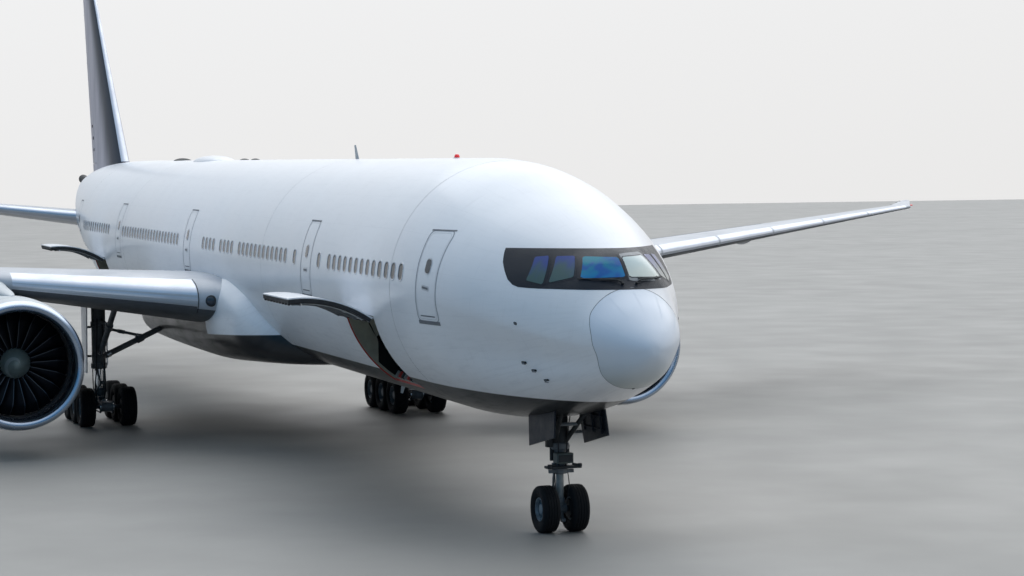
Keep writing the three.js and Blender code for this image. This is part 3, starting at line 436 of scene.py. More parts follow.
def worn(name, colour, roughness=0.45, metallic=0.0, coat=0.0, dirt=0.25, scale=6.0, grain=0.02,
         stains=None, shine=0.5):
    """A surface with patchy dirt, a mottled gloss and a fine grain."""
    n = Nodes(name)
    at = n.coords()
    patches = n.noise(at, scale, 5.0, 0.6)
    fine = n.noise(at, scale * 22, 3.0)
    dark = tuple(c * 0.55 for c in colour[:3]) + (1.0,) if stains is None else stains
    base = n.mix(n.remap(patches, 0.42, 0.72, 0.0, dirt), colour, dark)
    base = n.mix(n.remap(fine, 0.3, 0.7, 0.0, 0.12), base, dark)
    n.set(Base_Color=base, Metallic=metallic, Coat_Weight=coat, Specular_IOR_Level=shine)
    n.set(Roughness=n.remap(patches, 0.3, 0.7, roughness * 0.8, min(roughness * 1.25, 1.0)))
    n.set(Normal=n.bump(fine, 0.25, grain))
    return n.owner


BELLY_HEIGHT = 3.25
BELLY_RISE = 0.006
PANEL_LENGTH = 2.67
PANEL_GIRTH = 0.92
MODEL_DATUM = (DATUM_AT_NOSE + DATUM_RISE * LENGTH / 2) * SCALE


def fuselage_paint(name, black_belly, panel_contrast=0.16, height=BELLY_HEIGHT, rise=BELLY_RISE,
                   wing_shade_edge=None):
    """Gloss white over a black belly, with faint plate joints and streaks of dirt."""
    n = Nodes(name)
    at = n.coords()
    x, y, z = n.split(at)
    up = n.math("SUBTRACT", z, n.math("MULTIPLY_ADD", x, -DATUM_RISE, MODEL_DATUM))
    turn = n.math("ARCTAN2", up, y)
    girth = n.math("MULTIPLY", turn, RADIUS * SCALE)
    plate = n.join(x, girth, 0.0)
    bricks = n.add(
        "ShaderNodeTexBrick",
        {
            "Vector": plate, "Color1": rgb(1, 1, 1), "Color2": rgb(0.97, 0.97, 0.97), "Mortar": rgb(0, 0, 0),
            "Scale": 1.0, "Mortar Size": 0.0022, "Mortar Smooth": 0.6,
            "Brick Width": PANEL_LENGTH * SCALE, "Row Height": PANEL_GIRTH * SCALE,
        },
        offset=0.5,
    )
    joints = bricks.outputs["Fac"]
    streaks = n.noise(n.stretch(plate, 1.4, 9.0, 1.0), 1.6, 5.0, 0.62)
    down = n.noise(n.stretch(plate, 10.0, 1.2, 1.0), 1.5, 4.0, 0.6)
    mottle = n.noise(at, 0.9, 3.0)
    white = n.mix(n.remap(mottle, 0.3, 0.7, 0.0, 1.0), rgb(0.80, 0.815, 0.85), rgb(0.86, 0.87, 0.895))
    low = n.remap(up, -RADIUS * SCALE, 0.2, 1.0, 0.0, True)
    grime = n.math("MULTIPLY", n.remap(streaks, 0.5, 0.78, 0.0, 0.42), n.remap(low, 0.0, 1.0, 0.25, 1.0))
    white = n.mix(grime, white, rgb(0.50, 0.51, 0.53))
    white = n.mix(n.remap(down, 0.56, 0.8, 0.0, 0.16), white, rgb(0.56, 0.56, 0.58))
    white = n.mix(n.math("MULTIPLY", joints, panel_contrast), white, rgb(0.36, 0.38, 0.42))
    colour = white
    if black_belly:
        edge = n.math("MULTIPLY_ADD", x, -rise, (height + rise * LENGTH / 2) * SCALE)
        # Painted shade: aft of a given station the black is raised up the fairing under the wing, where the
        # wing's shadow falls; forward of it the edge follows the livery's black belly.
        if wing_shade_edge:
            first, last, top = wing_shade_edge
            low_x, high_x = ((LENGTH / 2 - s) * SCALE for s in (first, last))
            edge = n.math("MAXIMUM", edge, n.remap(x, low_x, high_x, 0.0, top * SCALE, True))
        stains = n.remap(streaks, 0.4, 0.8, 0.0, 0.6)
        black = n.mix(stains, rgb(0.007, 0.008, 0.010), rgb(0.022, 0.022, 0.023))
        above = n.remap(n.math("SUBTRACT", z, edge), -0.004, 0.004, 0.0, 1.0)
        colour = n.mix(above, black, white)
    n.set(Base_Color=colour, Coat_Weight=0.18, Coat_Roughness=0.1)
    gloss = n.remap(mottle, 0.3, 0.7, 0.28, 0.38)
    n.set(Roughness=n.math("ADD", gloss, n.math("MULTIPLY", grime, 0.35)))
    ripple = n.noise(n.stretch(plate, 1.0, 1.6, 1.0), 2.4, 1.0)
    relief = n.math("SUBTRACT", n.math("MULTIPLY", ripple, 0.5), n.math("MULTIPLY", joints, 0.5))
    n.set(Normal=n.bump(relief, 0.12, 0.01), Specular_IOR_Level=0.4)
    return n.owner


# Heights between which the radome's painted shade fades out, full at the first and none at the second.
RADOME_SHADE_LOW, RADOME_SHADE_HIGH = 1.72, 2.42


def radome_paint():
    """Gloss white without plate joints, with painted shade darkening it towards its foot."""
    n = Nodes("radome_white")
    at = n.coords()
    height = n.split(at)[2]
    mottle = n.noise(at, 1.4, 4.0)
    unshaded = n.mix(mottle, rgb(0.70, 0.765, 0.86), rgb(0.76, 0.81, 0.88))
    level = n.math("MULTIPLY_ADD", mottle, 0.16, height)
    # Painted shade: lower down, the radome darkens towards a greenish grey.
    dirt = n.remap(level, RADOME_SHADE_LOW, RADOME_SHADE_HIGH, 1.0, 0.0, True)
    n.set(Base_Color=n.mix(dirt, unshaded, rgb(0.38, 0.42, 0.40)), Coat_Weight=0.18, Coat_Roughness=0.1)
    n.set(Roughness=n.remap(mottle, 0.3, 0.7, 0.28, 0.38), Specular_IOR_Level=0.4)
    n.set(Normal=n.bump(n.noise(at, 30.0), 0.1, 0.002))
    return n.owner


# The fin as its paint needs it: how far its leading edge runs aft for a rise of one, where that edge would
# reach the ground, the chord there, and how much of the chord goes for a rise of one.
FIN_LEAN, FIN_START, FIN_CHORD, FIN_TAPER = 0.94, -8.5, 7.477, 0.6726


def fin_paint():
    """A satin black fin with a painted sheen: pale grey at its trailing edge, darkening to near black along
    its leading edge.
    """
    n = Nodes("fin_dark")
    at = n.coords()
    x, _, z = n.split(at)
    aft = n.math("SUBTRACT", FIN_START, n.math("MULTIPLY_ADD", z, FIN_LEAN, x))
    chord = n.math("MULTIPLY_ADD", z, -FIN_TAPER, FIN_CHORD)
    ahead = n.remap(n.math("DIVIDE", aft, chord), 0.42, 0.1, 0.0, 1.0, True)
    mottle = n.noise(n.stretch(at, 1.0, 1.0, 0.25), 2.2, 4.0)
    # Painted sheen: the black paint is lightened to pale grey towards the trailing edge.
    base = n.mix(ahead, rgb(0.64, 0.57, 0.60), rgb(0.055, 0.062, 0.080))
    base = n.mix(n.remap(mottle, 0.4, 0.75, 0.0, 0.35), base, rgb(0.12, 0.12, 0.13))
    n.set(Base_Color=base, Specular_IOR_Level=0.15)
    n.set(Roughness=n.remap(mottle, 0.3, 0.7, 0.45, 0.55))
    n.set(Normal=n.bump(n.noise(at, 40.0), 0.1, 0.004))
    return n.owner


FIN_PAINT = fin_paint()
RADOME_WHITE = radome_paint()
WHITE = fuselage_paint("white_over_black", True)
# The fairing's black belly, raised under the wing as painted shade.
FAIRING_PAINT = fuselage_paint("fairing_paint", True, 0.2, 4.6, -0.04, (27.0, 29.2, 4.5))
WHITE_PLAIN = fuselage_paint("white_gloss", False, 0.2)
BLACK = worn("black_gloss", rgb(0.008, 0.009, 0.011), 0.4, stains=rgb(0.025, 0.026, 0.028), shine=0.3)
MASK_BLACK = worn("mask_black", rgb(0.005, 0.011, 0.021), 0.35, dirt=0.15, stains=rgb(0.011, 0.018, 0.030),
                  shine=0.22)
WING_GREY = worn("wing_grey", rgb(0.46, 0.49, 0.54), 0.4, coat=0.12, scale=1.2, grain=0.01,
                 stains=rgb(0.30, 0.31, 0.33))
# Painted shade: the wing's underside and the slats' lower faces are painted near black instead of the wing's
# grey.
WING_UNDER_SHADE = worn("wing_underside", rgb(0.105, 0.115, 0.13), 0.5, scale=1.2, grain=0.01,
                  stains=rgb(0.065, 0.07, 0.075), shine=0.3)
SLAT_METAL = worn("slat_metal", rgb(0.60, 0.64, 0.72), 0.34, metallic=0.75, scale=2.0, dirt=0.25, grain=0.003,
                  stains=rgb(0.42, 0.45, 0.5))
BARE_METAL = worn("bare_metal", rgb(0.78, 0.80, 0.83), 0.2, metallic=0.95, scale=2.5, dirt=0.3, grain=0.004,
                  stains=rgb(0.5, 0.51, 0.54))
ENGINE_METAL = worn("engine_metal", rgb(0.36, 0.34, 0.32), 0.42, metallic=0.85, scale=4.0, dirt=0.6,
                    stains=rgb(0.13, 0.11, 0.10))
# Dark composite fan blades and their metal edges, both darkened further as painted shade inside the inlet.
FAN_DARK = worn("fan_dark", rgb(0.005, 0.006, 0.009), 0.45, scale=5.0, grain=0.004, shine=0.15)
FAN_EDGE = worn("fan_edge", rgb(0.075, 0.085, 0.10), 0.35, metallic=0.8, scale=8.0, grain=0.004)
# Painted shade: the inlet duct's liner is painted near black, as the inside of the inlet lies in shade.
DUCT_LINER_SHADE = worn("duct_liner_shade", rgb(0.045, 0.05, 0.058), 0.55, scale=8.0, grain=0.01, shine=0.3)
# Grey gear paint, darkened as painted shade for the gear standing in the shadow under the aircraft.
GEAR_GREY = worn("gear_grey", rgb(0.15, 0.165, 0.18), 0.45, scale=9.0, dirt=0.6, grain=0.01,
                 stains=rgb(0.04, 0.04, 0.04))
GEAR_GREEN = worn("gear_box_green", rgb(0.075, 0.095, 0.09), 0.5, scale=9.0, dirt=0.4, grain=0.01)
GEAR_PALE = worn("gear_pale", rgb(0.25, 0.27, 0.27), 0.35, scale=9.0, dirt=0.5, grain=0.004,
                  stains=rgb(0.1, 0.11, 0.11))
GEAR_DARK = worn("gear_dark", rgb(0.03, 0.033, 0.036), 0.55, scale=9.0, dirt=0.6, grain=0.01, shine=0.3)
CHROME = worn("ground_chrome", rgb(0.78, 0.80, 0.82), 0.1, metallic=1.0, scale=20.0, dirt=0.2, grain=0.001)
RUBBER = worn("tyre_rubber", rgb(0.006, 0.007, 0.009), 0.85, scale=7.0, dirt=0.6, grain=0.02,
              stains=rgb(0.017, 0.017, 0.018), shine=0.2)
SEAL = worn("seal_rubber", rgb(0.03, 0.03, 0.032), 0.7, scale=12.0, grain=0.01)
HUB_BLUE = worn("hub_enamel", rgb(0.17, 0.22, 0.26), 0.45, scale=12.0, dirt=0.8, grain=0.006,
                stains=rgb(0.03, 0.035, 0.04))
# Painted shade: the recess and the inner face of a wheel are painted darker than its rim.
HUB_RECESS_SHADE = worn("hub_recess_shade", rgb(0.04, 0.08, 0.10), 0.5, scale=12.0, dirt=0.7, grain=0.006)
LINING = worn("hold_lining", rgb(0.36, 0.36, 0.29), 0.6, scale=3.0, dirt=0.7, grain=0.01,
              stains=rgb(0.16, 0.16, 0.13))
LINING_PALE = worn("door_lining", rgb(0.50, 0.52, 0.53), 0.5, scale=4.0, dirt=0.5, grain=0.01)
RED = worn("red_gloss", rgb(0.55, 0.05, 0.035), 0.4, coat=0.2, scale=9.0, dirt=0.5, grain=0.01)
# Painted shade: the inside of a hold and the deep part of its jambs are painted near black.
HOLD_SHADE = worn("hold_painted_shade", rgb(0.008, 0.010, 0.011), 0.7, scale=3.0, dirt=0.6, grain=0.01, shine=0.15)
SEAM_PALE = worn("seam_pale", rgb(0.50, 0.52, 0.56), 0.5, scale=9.0, dirt=0.3, grain=0.005)
DOOR_JOINT = worn("door_joint", rgb(0.33, 0.345, 0.38), 0.6, scale=9.0, dirt=0.3, grain=0.005)
SEAM_GREY = worn("seam_grey", rgb(0.18, 0.19, 0.21), 0.6, scale=9.0, dirt=0.3, grain=0.005)
# Painted glare: a grey band on the black mask round the foremost port pane.
MASK_GLARE_BAND = worn("mask_glare_band", rgb(0.22, 0.24, 0.26), 0.4, scale=9.0, dirt=0.4, grain=0.004)
FRAME_METAL = worn("window_frame", rgb(0.62, 0.64, 0.68), 0.35, metallic=0.3, scale=9.0, dirt=0.3,
                   grain=0.005)
LIP_METAL = worn("lip_metal", rgb(0.44, 0.51, 0.62), 0.24, metallic=1.0, scale=1.5, dirt=0.2, grain=0.001,
                 stains=rgb(0.3, 0.35, 0.42))
COWL_WHITE = worn("cowl_white", rgb(0.56, 0.60, 0.62), 0.4, coat=0.1, scale=1.2, dirt=0.2, grain=0.002,
                  stains=rgb(0.42, 0.45, 0.46))
HOT_METAL = worn("hot_metal", rgb(0.30, 0.24, 0.20), 0.5, metallic=0.8, scale=5.0, dirt=0.7,
                 stains=rgb(0.08, 0.07, 0.07))
SPINNER_GREY = worn("spinner_grey", rgb(0.16, 0.20, 0.19), 0.4, coat=0.2, scale=7.0, grain=0.003)
SWIRL = worn("spinner_swirl", rgb(0.26, 0.30, 0.30), 0.4, scale=7.0, grain=0.003)
LENS_DARK = worn("lens_dark", rgb(0.02, 0.035, 0.055), 0.08, coat=0.3, scale=20.0, dirt=0.2, grain=0.001)


def glass(name, colour, low_colour, roughness, shine, patches=0.16, tint=None):
    """Coated glass, with a second tint towards its foot and a third in soft patches. On the cockpit panes
    these tints are painted reflections.
    """
    n = Nodes(name)
    at = n.coords()
    height = n.split(at)[2]
    cloud = n.noise(n.stretch(at, 1.5, 1.5, 1.0), 3.0, 2.0)
    level = n.math("MULTIPLY_ADD", n.math("SUBTRACT", cloud, 0.5), patches, height)
    base = n.mix(n.remap(level, 3.02, 3.18, 1.0, 0.0, True), colour, low_colour)
    if tint:
        base = n.mix(n.remap(n.noise(at, 6.0, 1.0), 0.42, 0.66, 0.0, 0.9, True), base, tint)
    n.set(Base_Color=base, Specular_IOR_Level=shine)
    n.set(Roughness=n.remap(n.noise(at, 30.0), 0.3, 0.7, roughness, roughness * 2))
    return n.owner


CABIN_GLASS = glass("cabin_glass", rgb(0.035, 0.045, 0.06), rgb(0.015, 0.02, 0.028), 0.12, 0.5)
# Painted reflections: the cockpit panes are coloured teal and blue in place of what they reflect.
WINDSHIELD_PAINTED_REFLECTION = glass("windshield_painted_reflection", rgb(0.005, 0.22, 0.30), rgb(0.01, 0.19, 0.42), 0.06, 0.2, 0.2,
                         rgb(0.01, 0.09, 0.36))
SIDE_PANE_PAINTED_REFLECTION = glass("side_pane_painted_reflection", rgb(0.05, 0.08, 0.26), rgb(0.07, 0.125, 0.125), 0.06, 0.2, 0.3)
# Painted glare: the pale glass of the foremost port pane.
COCKPIT_GLARE = glass("cockpit_glare", rgb(0.50, 0.60, 0.60), rgb(0.62, 0.67, 0.62), 0.08, 0.2)


def lamp(name, colour, strength):
    """A faintly glowing lens."""
    n = Nodes(name)
    n.set(Base_Color=colour, Emission_Color=colour, Emission_Strength=strength, Coat_Weight=1.0)
    n.set(Roughness=n.remap(n.noise(n.coords(), 60.0), 0.3, 0.7, 0.05, 0.2))
    return n.owner


LAMP_RED = lamp("lamp_red", rgb(0.7, 0.02, 0.02), 0.4)
LAMP_GREEN = lamp("lamp_green", rgb(0.02, 0.35, 0.12), 0.3)

# Fuselage skins

AROUND = 144
DOOR_TOP = math.radians(180 + 14.1)
DOOR_SILL = math.radians(180 + 57)
# Columns: door name, opening's first and last station, hold's first and last station.
CARGO_DOORS = (
    ("forward", 10.9, 13.6, 9.6, 21.6),
    ("aft", 50.4, 53.1, 46.0, 53.6),
)
SEAM_HALF = 0.004
# Stations at which the nose section, the forward, centre and rear sections, the tail section and the tail
# cone end.
NOSE_END, FORWARD_END, CENTRE_END, REAR_END, TAIL_END, CONE_END = 9.2, 22.6, 45.7, 56.5, 71.0, 73.08
# The radome's seam. Rows: heights, stations.
RADOME_SEAM = Curve((3.3, 3.96, 4.16, 4.5, 4.78, 5.09, 5.31, 5.8),
                    (1.30, 1.25, 1.19, 1.09, 1.1, 1.22, 1.31, 1.34))


def ring_angles(extra=()):
    angles = {round(2 * math.pi * k / AROUND, 6) for k in range(AROUND)}
    for angle in extra:
        near = min(angles, key=lambda other: abs(other - angle))
        if abs(near - angle) < 0.012:
            angles.discard(near)
        angles.add(round(angle, 6))
    return sorted(angles)


def stations_between(first, last, step, extra=()):
    count = max(1, round((last - first) / step))
    stations = set(round(s, 5) for s in spread(first, last, count))
    for station in extra:
        near = min(stations, key=lambda other: abs(other - station))
        if abs(near - station) < step * 0.4 and near not in (first, last):
            stations.discard(near)
        stations.add(station)
    return sorted(stations)


def seam_station(angle, shift=0.0):
    """Where the radome's seam crosses the skin at an angle."""
    station = 1.15
    for _ in range(14):
        station = lerp(station, RADOME_SEAM(raw_skin(station, angle).z / SCALE), 0.6)
    return station + shift


def barrel_piece(name, first, last, step, material, doorway=None):
    extra_angles = (DOOR_TOP, DOOR_SILL) if doorway else ()
    extra_stations = doorway[1:3] if doorway else ()
    angles = ring_angles(extra_angles)
    stations = stations_between(first, last, step, extra_stations)
    form = Form()
    rows = [[skin(s, a) for a in angles] for s in stations]

    def keep(r, c):
        if not doorway:
            return True
        station = (stations[r] + stations[r + 1]) / 2
        angle = angles[c] + 0.01
        return not (doorway[1] < station < doorway[2] and DOOR_TOP <= angle < DOOR_SILL)

    form.grid(rows, 0, around=True, keep=keep)
    if doorway:
        add_doorway(form, doorway, angles)
    return piece(name + "_skin", form, "airframe", [material, LINING, RED, SEAL, GEAR_PALE, HOLD_SHADE],
                 [name], sharp=40)


def radial(station, angle, radius):
    return place(station, radius * math.cos(angle), datum(station) + radius * math.sin(angle))


JAMB_RADIUS = 2.62
# How far out from the middle the pale lining of a jamb reaches in; further in it is near black, as painted
# shade.
LINED_TO = 2.12
# Depths from the skin of the red edge and of the whole rim.
RED_EDGE, RIM_DEPTH = 0.035, 0.1
# A latch fitting on the sill. Columns: distance along it, depth from the skin.
LATCH_OUTLINE = ((-0.05, 0.24), (0.05, 0.24), (0.035, 0.08), (-0.035, 0.08))


def add_doorway(form, doorway, angles):
    """Jambs, sill and header of a cargo doorway, from the skin in to the hold's lining."""
    _, first, last, _, _ = doorway
    arc = [a for a in angles if DOOR_TOP - 1e-4 <= a <= DOOR_SILL + 1e-4]
    depths = [clamp(-LINED_TO / math.cos(a), JAMB_RADIUS + 0.003, RADIUS - RIM_DEPTH - 0.003) for a in arc]
    for station in (first, last):
        rim, red, lining, dark = [[radial(station, a, radius) for a in arc] for radius in (
            RADIUS, RADIUS - RED_EDGE, RADIUS - RIM_DEPTH, JAMB_RADIUS)]
        lined = [radial(station, a, radius) for a, radius in zip(arc, depths)]
        form.grid([rim, red], 2 if station == last else 3)
        form.grid([red, lining, lined], 1)
        # The deepest part of each jamb is in painted shade.
        form.grid([lined, dark], 5)
    stations = spread(first, last, 8)
    for angle, kind, deepest in ((DOOR_TOP, 3, 1), (DOOR_SILL, 2, 5)):
        rows = [[radial(s, angle, radius) for s in stations]
                for radius in (RADIUS, RADIUS - RED_EDGE * 1.6, RADIUS - RIM_DEPTH, JAMB_RADIUS)]
        form.grid(rows[:2], kind)
        form.grid(rows[1:3], 1)
        form.grid(rows[2:], deepest)
    for i, s in enumerate(spread(first + 0.2, last - 0.2, 9)):
        rings = [[radial(s + ds, angle, RADIUS - depth) for ds, depth in LATCH_OUTLINE]
                 for angle in (DOOR_SILL - 0.035, DOOR_SILL - 0.001)]
        form.loft(rings, (4, 3, 2)[i % 3])


# A hold's clear space. Columns: y, height from the datum.
HOLD_OUTLINE = ((-2.1, -0.66), (-2.1, -1.45), (-1.55, -2.4), (1.55, -2.4), (2.1, -1.45), (2.1, -0.66))


def hold(doorway):
    """The lining of a hold, near black as painted shade, with its doorway, roller tracks, side guides and
    ribs.
    """
    name, first, last, hold_first, hold_last = doorway
    level = datum((hold_first + hold_last) / 2)
    form = Form()
    lift = 0.004
    stations = [hold_first + lift, first, last, hold_last - lift]
    outline = [(y * 0.998, level + rise + (lift if rise < -2 else -lift)) for y, rise in HOLD_OUTLINE]
    rows = [[place(s, y, z) for y, z in outline] for s in stations]
    form.grid(rows, 0, around=True, keep=lambda r, c: not (r == 1 and c in (0, 1)))
    form.face(rows[0], 0)
    form.face(rows[-1], 0)
    floor = level + HOLD_OUTLINE[2][1]
    for s in (first, last):
        edge = [(y, level + rise) for y, rise in HOLD_OUTLINE[:3]]
        for (y0, z0), (y1, z1) in zip(edge, edge[1:]):
            out = [radial_match(y0, z0, s), radial_match(y1, z1, s)]
            near = [place(s, y0, z0), place(s, y1, z1)]
            middle = [a.lerp(b, 0.12) for a, b in zip(near, out)]
            form.face([near[0], near[1], middle[1], middle[0]], 0)
            form.face([middle[0], middle[1], out[1], out[0]], 4)
    for y in (-1.2, -0.45, 0.45, 1.2):
        form.box((hold_first + 0.2, y - 0.04, floor + 0.004), (hold_last - 0.2, y + 0.04, floor + 0.035), 1)
    for s in spread(first + 0.15, last - 0.15, 9):
        for y in (-1.35, -1.0, -0.7, -0.2, 0.1):
            form.tube([place(s, y - 0.06, floor + 0.03), place(s, y + 0.06, floor + 0.03)], 0.028, 10, 2)
    count = round((hold_last - hold_first) / WINDOW_PITCH)
    for s in spread(hold_first + 0.3, hold_last - 0.3, count):
        if first - 0.1 < s < last + 0.1:
            continue
        form.box((s - 0.03, -2.09, level - 1.44), (s + 0.03, -2.03, level - 0.7), 3)
        form.box((s - 0.03, 2.03, level - 1.44), (s + 0.03, 2.09, level - 0.7), 3)
    return piece(name + "_hold_lining", form, "airframe",
                 [HOLD_SHADE, GEAR_GREY, BARE_METAL, GEAR_DARK, LINING], sharp=25)


def radial_match(y, z, station):
    """The point on a doorway's jamb ring that lies outboard of a lining point."""
    height = z - datum(station)
    angle = clamp(math.atan2(height, y) % (2 * math.pi), DOOR_TOP, DOOR_SILL)
    return radial(station, angle, JAMB_RADIUS)


def radome():
    angles = ring_angles()
    form = Form()
    steps = 26
    rows = []
    for i in range(1, steps + 1):
        t = (i / steps) ** 1.9
        rows.append([skin(seam_station(a, -SEAM_HALF) * t, a) for a in angles])
    form.grid(rows, 0, around=True)
    form.face(rows[0], 0)
    return piece("radome_skin", form, "airframe", [RADOME_WHITE], ["radome"], sharp=50)


def nose_section():
    angles = ring_angles()
    form = Form()
    steps = 46
    rows = []
    for i in range(steps + 1):
        t = (i / steps) ** 1.25
        rows.append([skin(lerp(seam_station(a, SEAM_HALF), NOSE_END - SEAM_HALF, t), a) for a in angles])
    form.grid(rows, 0, around=True)
    return piece("nose_section_skin", form, "airframe", [WHITE], ["nose_section"], sharp=50)


def band(form, path, width, out, kind=0, closed=False):
    """A flat strip on the fuselage skin along a path of (station, angle), of the given width."""
    points = [raw_skin(s, a) for s, a in path]
    rows = ([], [])
    count = len(path)
    for i in range(count):
        before = points[(i - 1) % count] if closed or i > 0 else points[i]
        after = points[(i + 1) % count] if closed or i < count - 1 else points[i]
        ahead = (after - before).normalized()
        s, a = path[i]
        base = skin(s, a, out)
        normal = (base - points[i]).normalized()
        across = ahead.cross(normal).normalized() * (width / 2 * SCALE)
        rows[0].append(base + across)
        rows[1].append(base - across)
    if closed:
        rows[0].append(rows[0][0])
        rows[1].append(rows[1][0])
    form.grid(rows, kind)


def seams():
    """Joints between the fuselage sections and round the radome."""
    form = Form()
    angles = ring_angles()
    band(form, [(seam_station(a), a) for a in angles], 0.014, 0.003, 1, closed=True)
    for station in (NOSE_END, FORWARD_END, CENTRE_END, REAR_END):
        band(form, [(station, a) for a in angles], 0.012, 0.003, 0, closed=True)
    return piece("fuselage_seams", form, "airframe", [SEAM_PALE, SEAM_GREY], sharp=50)


# Cabin windows

WINDOW_PITCH = 0.5334
WINDOW_FIRST = 15.94
WINDOW_FIRST_NUMBER = 14
WINDOW_HEIGHT = 0.43
# Runs of windows by number, from the first seat row aft.
WINDOW_RUNS = ((0, 12), (14, 14), (19, 19), (21, 32), (34, 37), (39, 42), (50, 70), (76, 90), (96, 101))
WINDOW_HALF_WIDTH = 0.135
WINDOW_HALF_HEIGHT = 0.19


def window_stations():
    result = []
    for first, last in WINDOW_RUNS:
        for number in range(first, last + 1):
            result.append(WINDOW_FIRST + WINDOW_PITCH * (number - WINDOW_FIRST_NUMBER))
    return result


def rounded(half_width, half_height, corner, steps=4):
    """A rounded rectangle about the origin."""
    points = []
    for quarter in range(4):
        cx = (half_width - corner) * (1 if quarter in (0, 3) else -1)
        cy = (half_height - corner) * (1 if quarter in (0, 1) else -1)
        for i in range(steps + 1):
            turn = math.pi / 2 * (quarter + i / steps)
            points.append((cx + corner * math.cos(turn), cy + corner * math.sin(turn)))
    return points


def on_side(station, angle, dx, dz, side, out):
    """A point near a place on the skin, moved aft by dx and up by dz along the surface."""
    rise = half_section(station + dx, math.sin(angle) > 0)[2]
    turn = angle + dz / max(rise, 0.5) / max(math.cos(angle), 0.3)
    return skin(station + dx, turn if side > 0 else math.pi - turn, out)


def port_angle(station, height):
    """The angle on the port side at a height above the datum line."""
    return skin_angle(station, datum(station) + height, 1)


def window(form, station, side):
    angle = port_angle(station, WINDOW_HEIGHT)
    corner = 0.105
    # Columns: growth of the outline, distance out of the skin, material of the band inside it.
    profile = ((0.035, 0.0, 1), (0.028, 0.010, 1), (0.006, 0.010, 1), (0.0, 0.004, 0), (-0.05, 0.003, 0),
               (-0.12, 0.003, 0))
    rings = []
    for grow, out, _ in profile:
        outline = rounded(WINDOW_HALF_WIDTH + grow, WINDOW_HALF_HEIGHT + grow, max(corner + grow, 0.01))
        rings.append([on_side(station, angle, dx, dz, side, out) for dx, dz in outline])
    for i in range(len(rings) - 1):
        form.grid(rings[i:i + 2], profile[i][2], around=True)
    form.face(rings[-1], 0)


def cabin_windows():
    for label, side in SIDES:
        form = Form()
        for station in window_stations():
            window(form, station, side)
        piece(f"cabin_windows_{label}", form, "airframe", [CABIN_GLASS, FRAME_METAL],
              sharp=50)


# Columns: middle station, half width, foot and head heights above the datum line.
CABIN_DOORS = (
    (6.92, 0.53, -0.65, 1.43),
    (17.3, 0.53, -0.55, 1.43),
    (33.5, 0.53, -0.55, 1.43),
    (46.8, 0.53, -0.55, 1.43),
    (58.95, 0.5, -0.5, 1.4),
)


def door_outline(station, half_width, foot, head, corner=0.16):
    """A door's outline as (station, angle on the port side)."""
    outline = rounded(half_width, (head - foot) / 2, corner, 5)
    dense = []
    for (x0, y0), (x1, y1) in zip(outline, outline[1:] + outline[:1]):
        parts = max(1, round(math.hypot(x1 - x0, y1 - y0) / 0.12))
        dense.extend((lerp(x0, x1, k / parts), lerp(y0, y1, k / parts)) for k in range(parts))
    return [(station + dx, port_angle(station + dx, (foot + head) / 2 + dz)) for dx, dz in dense]


def to_side(path, side):
    return [(s, a if side > 0 else math.pi - a) for s, a in path]


# A door's window and handle on their plates. Columns: height, half width, half height, corner radius,
# distance out of the skin, material.
DOOR_PLATES = (
    (0.62, 0.15, 0.19, 0.12, 0.006, 1),
    (0.62, 0.12, 0.16, 0.09, 0.009, 2),
    (0.12, 0.2, 0.06, 0.048, 0.005, 1),
    (0.12, 0.15, 0.025, 0.02, 0.012, 0),
)


def cabin_doors():
    """Passenger doors: a joint, a raised panel edge, bands at foot and head, a small window and a handle."""
    for label, side in SIDES:
        form = Form()
        for station, half_width, foot, head in CABIN_DOORS:
            for inset, width, out, kind in ((0.0, 0.03, 0.004, 3), (0.05, 0.012, 0.003, 1)):
                outline = door_outline(station, half_width - inset, foot + inset, head - inset)
                band(form, to_side(outline, side), width, out, kind, closed=True)
            for half, height, steps, width, out in (
                    (half_width, foot - 0.03, 8, 0.09, 0.006), (half_width, head + 0.01, 8, 0.04, 0.006),
                    (0.36, foot + 0.12, 6, 0.03, 0.005)):
                path = [(s, port_angle(s, height)) for s in spread(station - half, station + half, steps)]
                band(form, to_side(path, side), width, out)
            for height, half_x, half_z, corner, out, kind in DOOR_PLATES:
                angle = port_angle(station, height)
                outline = rounded(half_x, half_z, corner)
                form.face([on_side(station, angle, dx, dz, side, out) for dx, dz in outline], kind)
        piece(f"cabin_doors_{label}", form, "airframe",
              [SEAM_GREY, FRAME_METAL, CABIN_GLASS, DOOR_JOINT], sharp=50)


# Cockpit

# Columns: height of a place on the mask's aft end, its station.
MASK_END = ((5.765, 2.9), (5.772, 3.2), (5.785, 3.45), (5.83, 3.63), (5.94, 3.83), (6.12, 4.03), (6.32, 4.23),
            (6.52, 4.37), (6.62, 4.43))


def station_where(ahead_of_it, low, steps):
    """The station, aft of low, at which a test stops being true."""
    high = 9.0
    for _ in range(steps):
        middle = (low + high) / 2
        if ahead_of_it(middle):
            low = middle
        else:
            high = middle
    return middle


def top_station(z):
    """The station at which the crown line is at a height."""
    return station_where(lambda s: datum(s) + section(s)[1] < z, 0.05, 41)


def mask_end(z):
    """The station of the mask's aft end at a height."""
    z = clamp(z, MASK_END[0][0], MASK_END[-1][0])
    for (z0, s0), (z1, s1) in zip(MASK_END, MASK_END[1:]):
        if z <= z1:
            return lerp(s0, s1, (z - z0) / (z1 - z0))
    return MASK_END[-1][1]


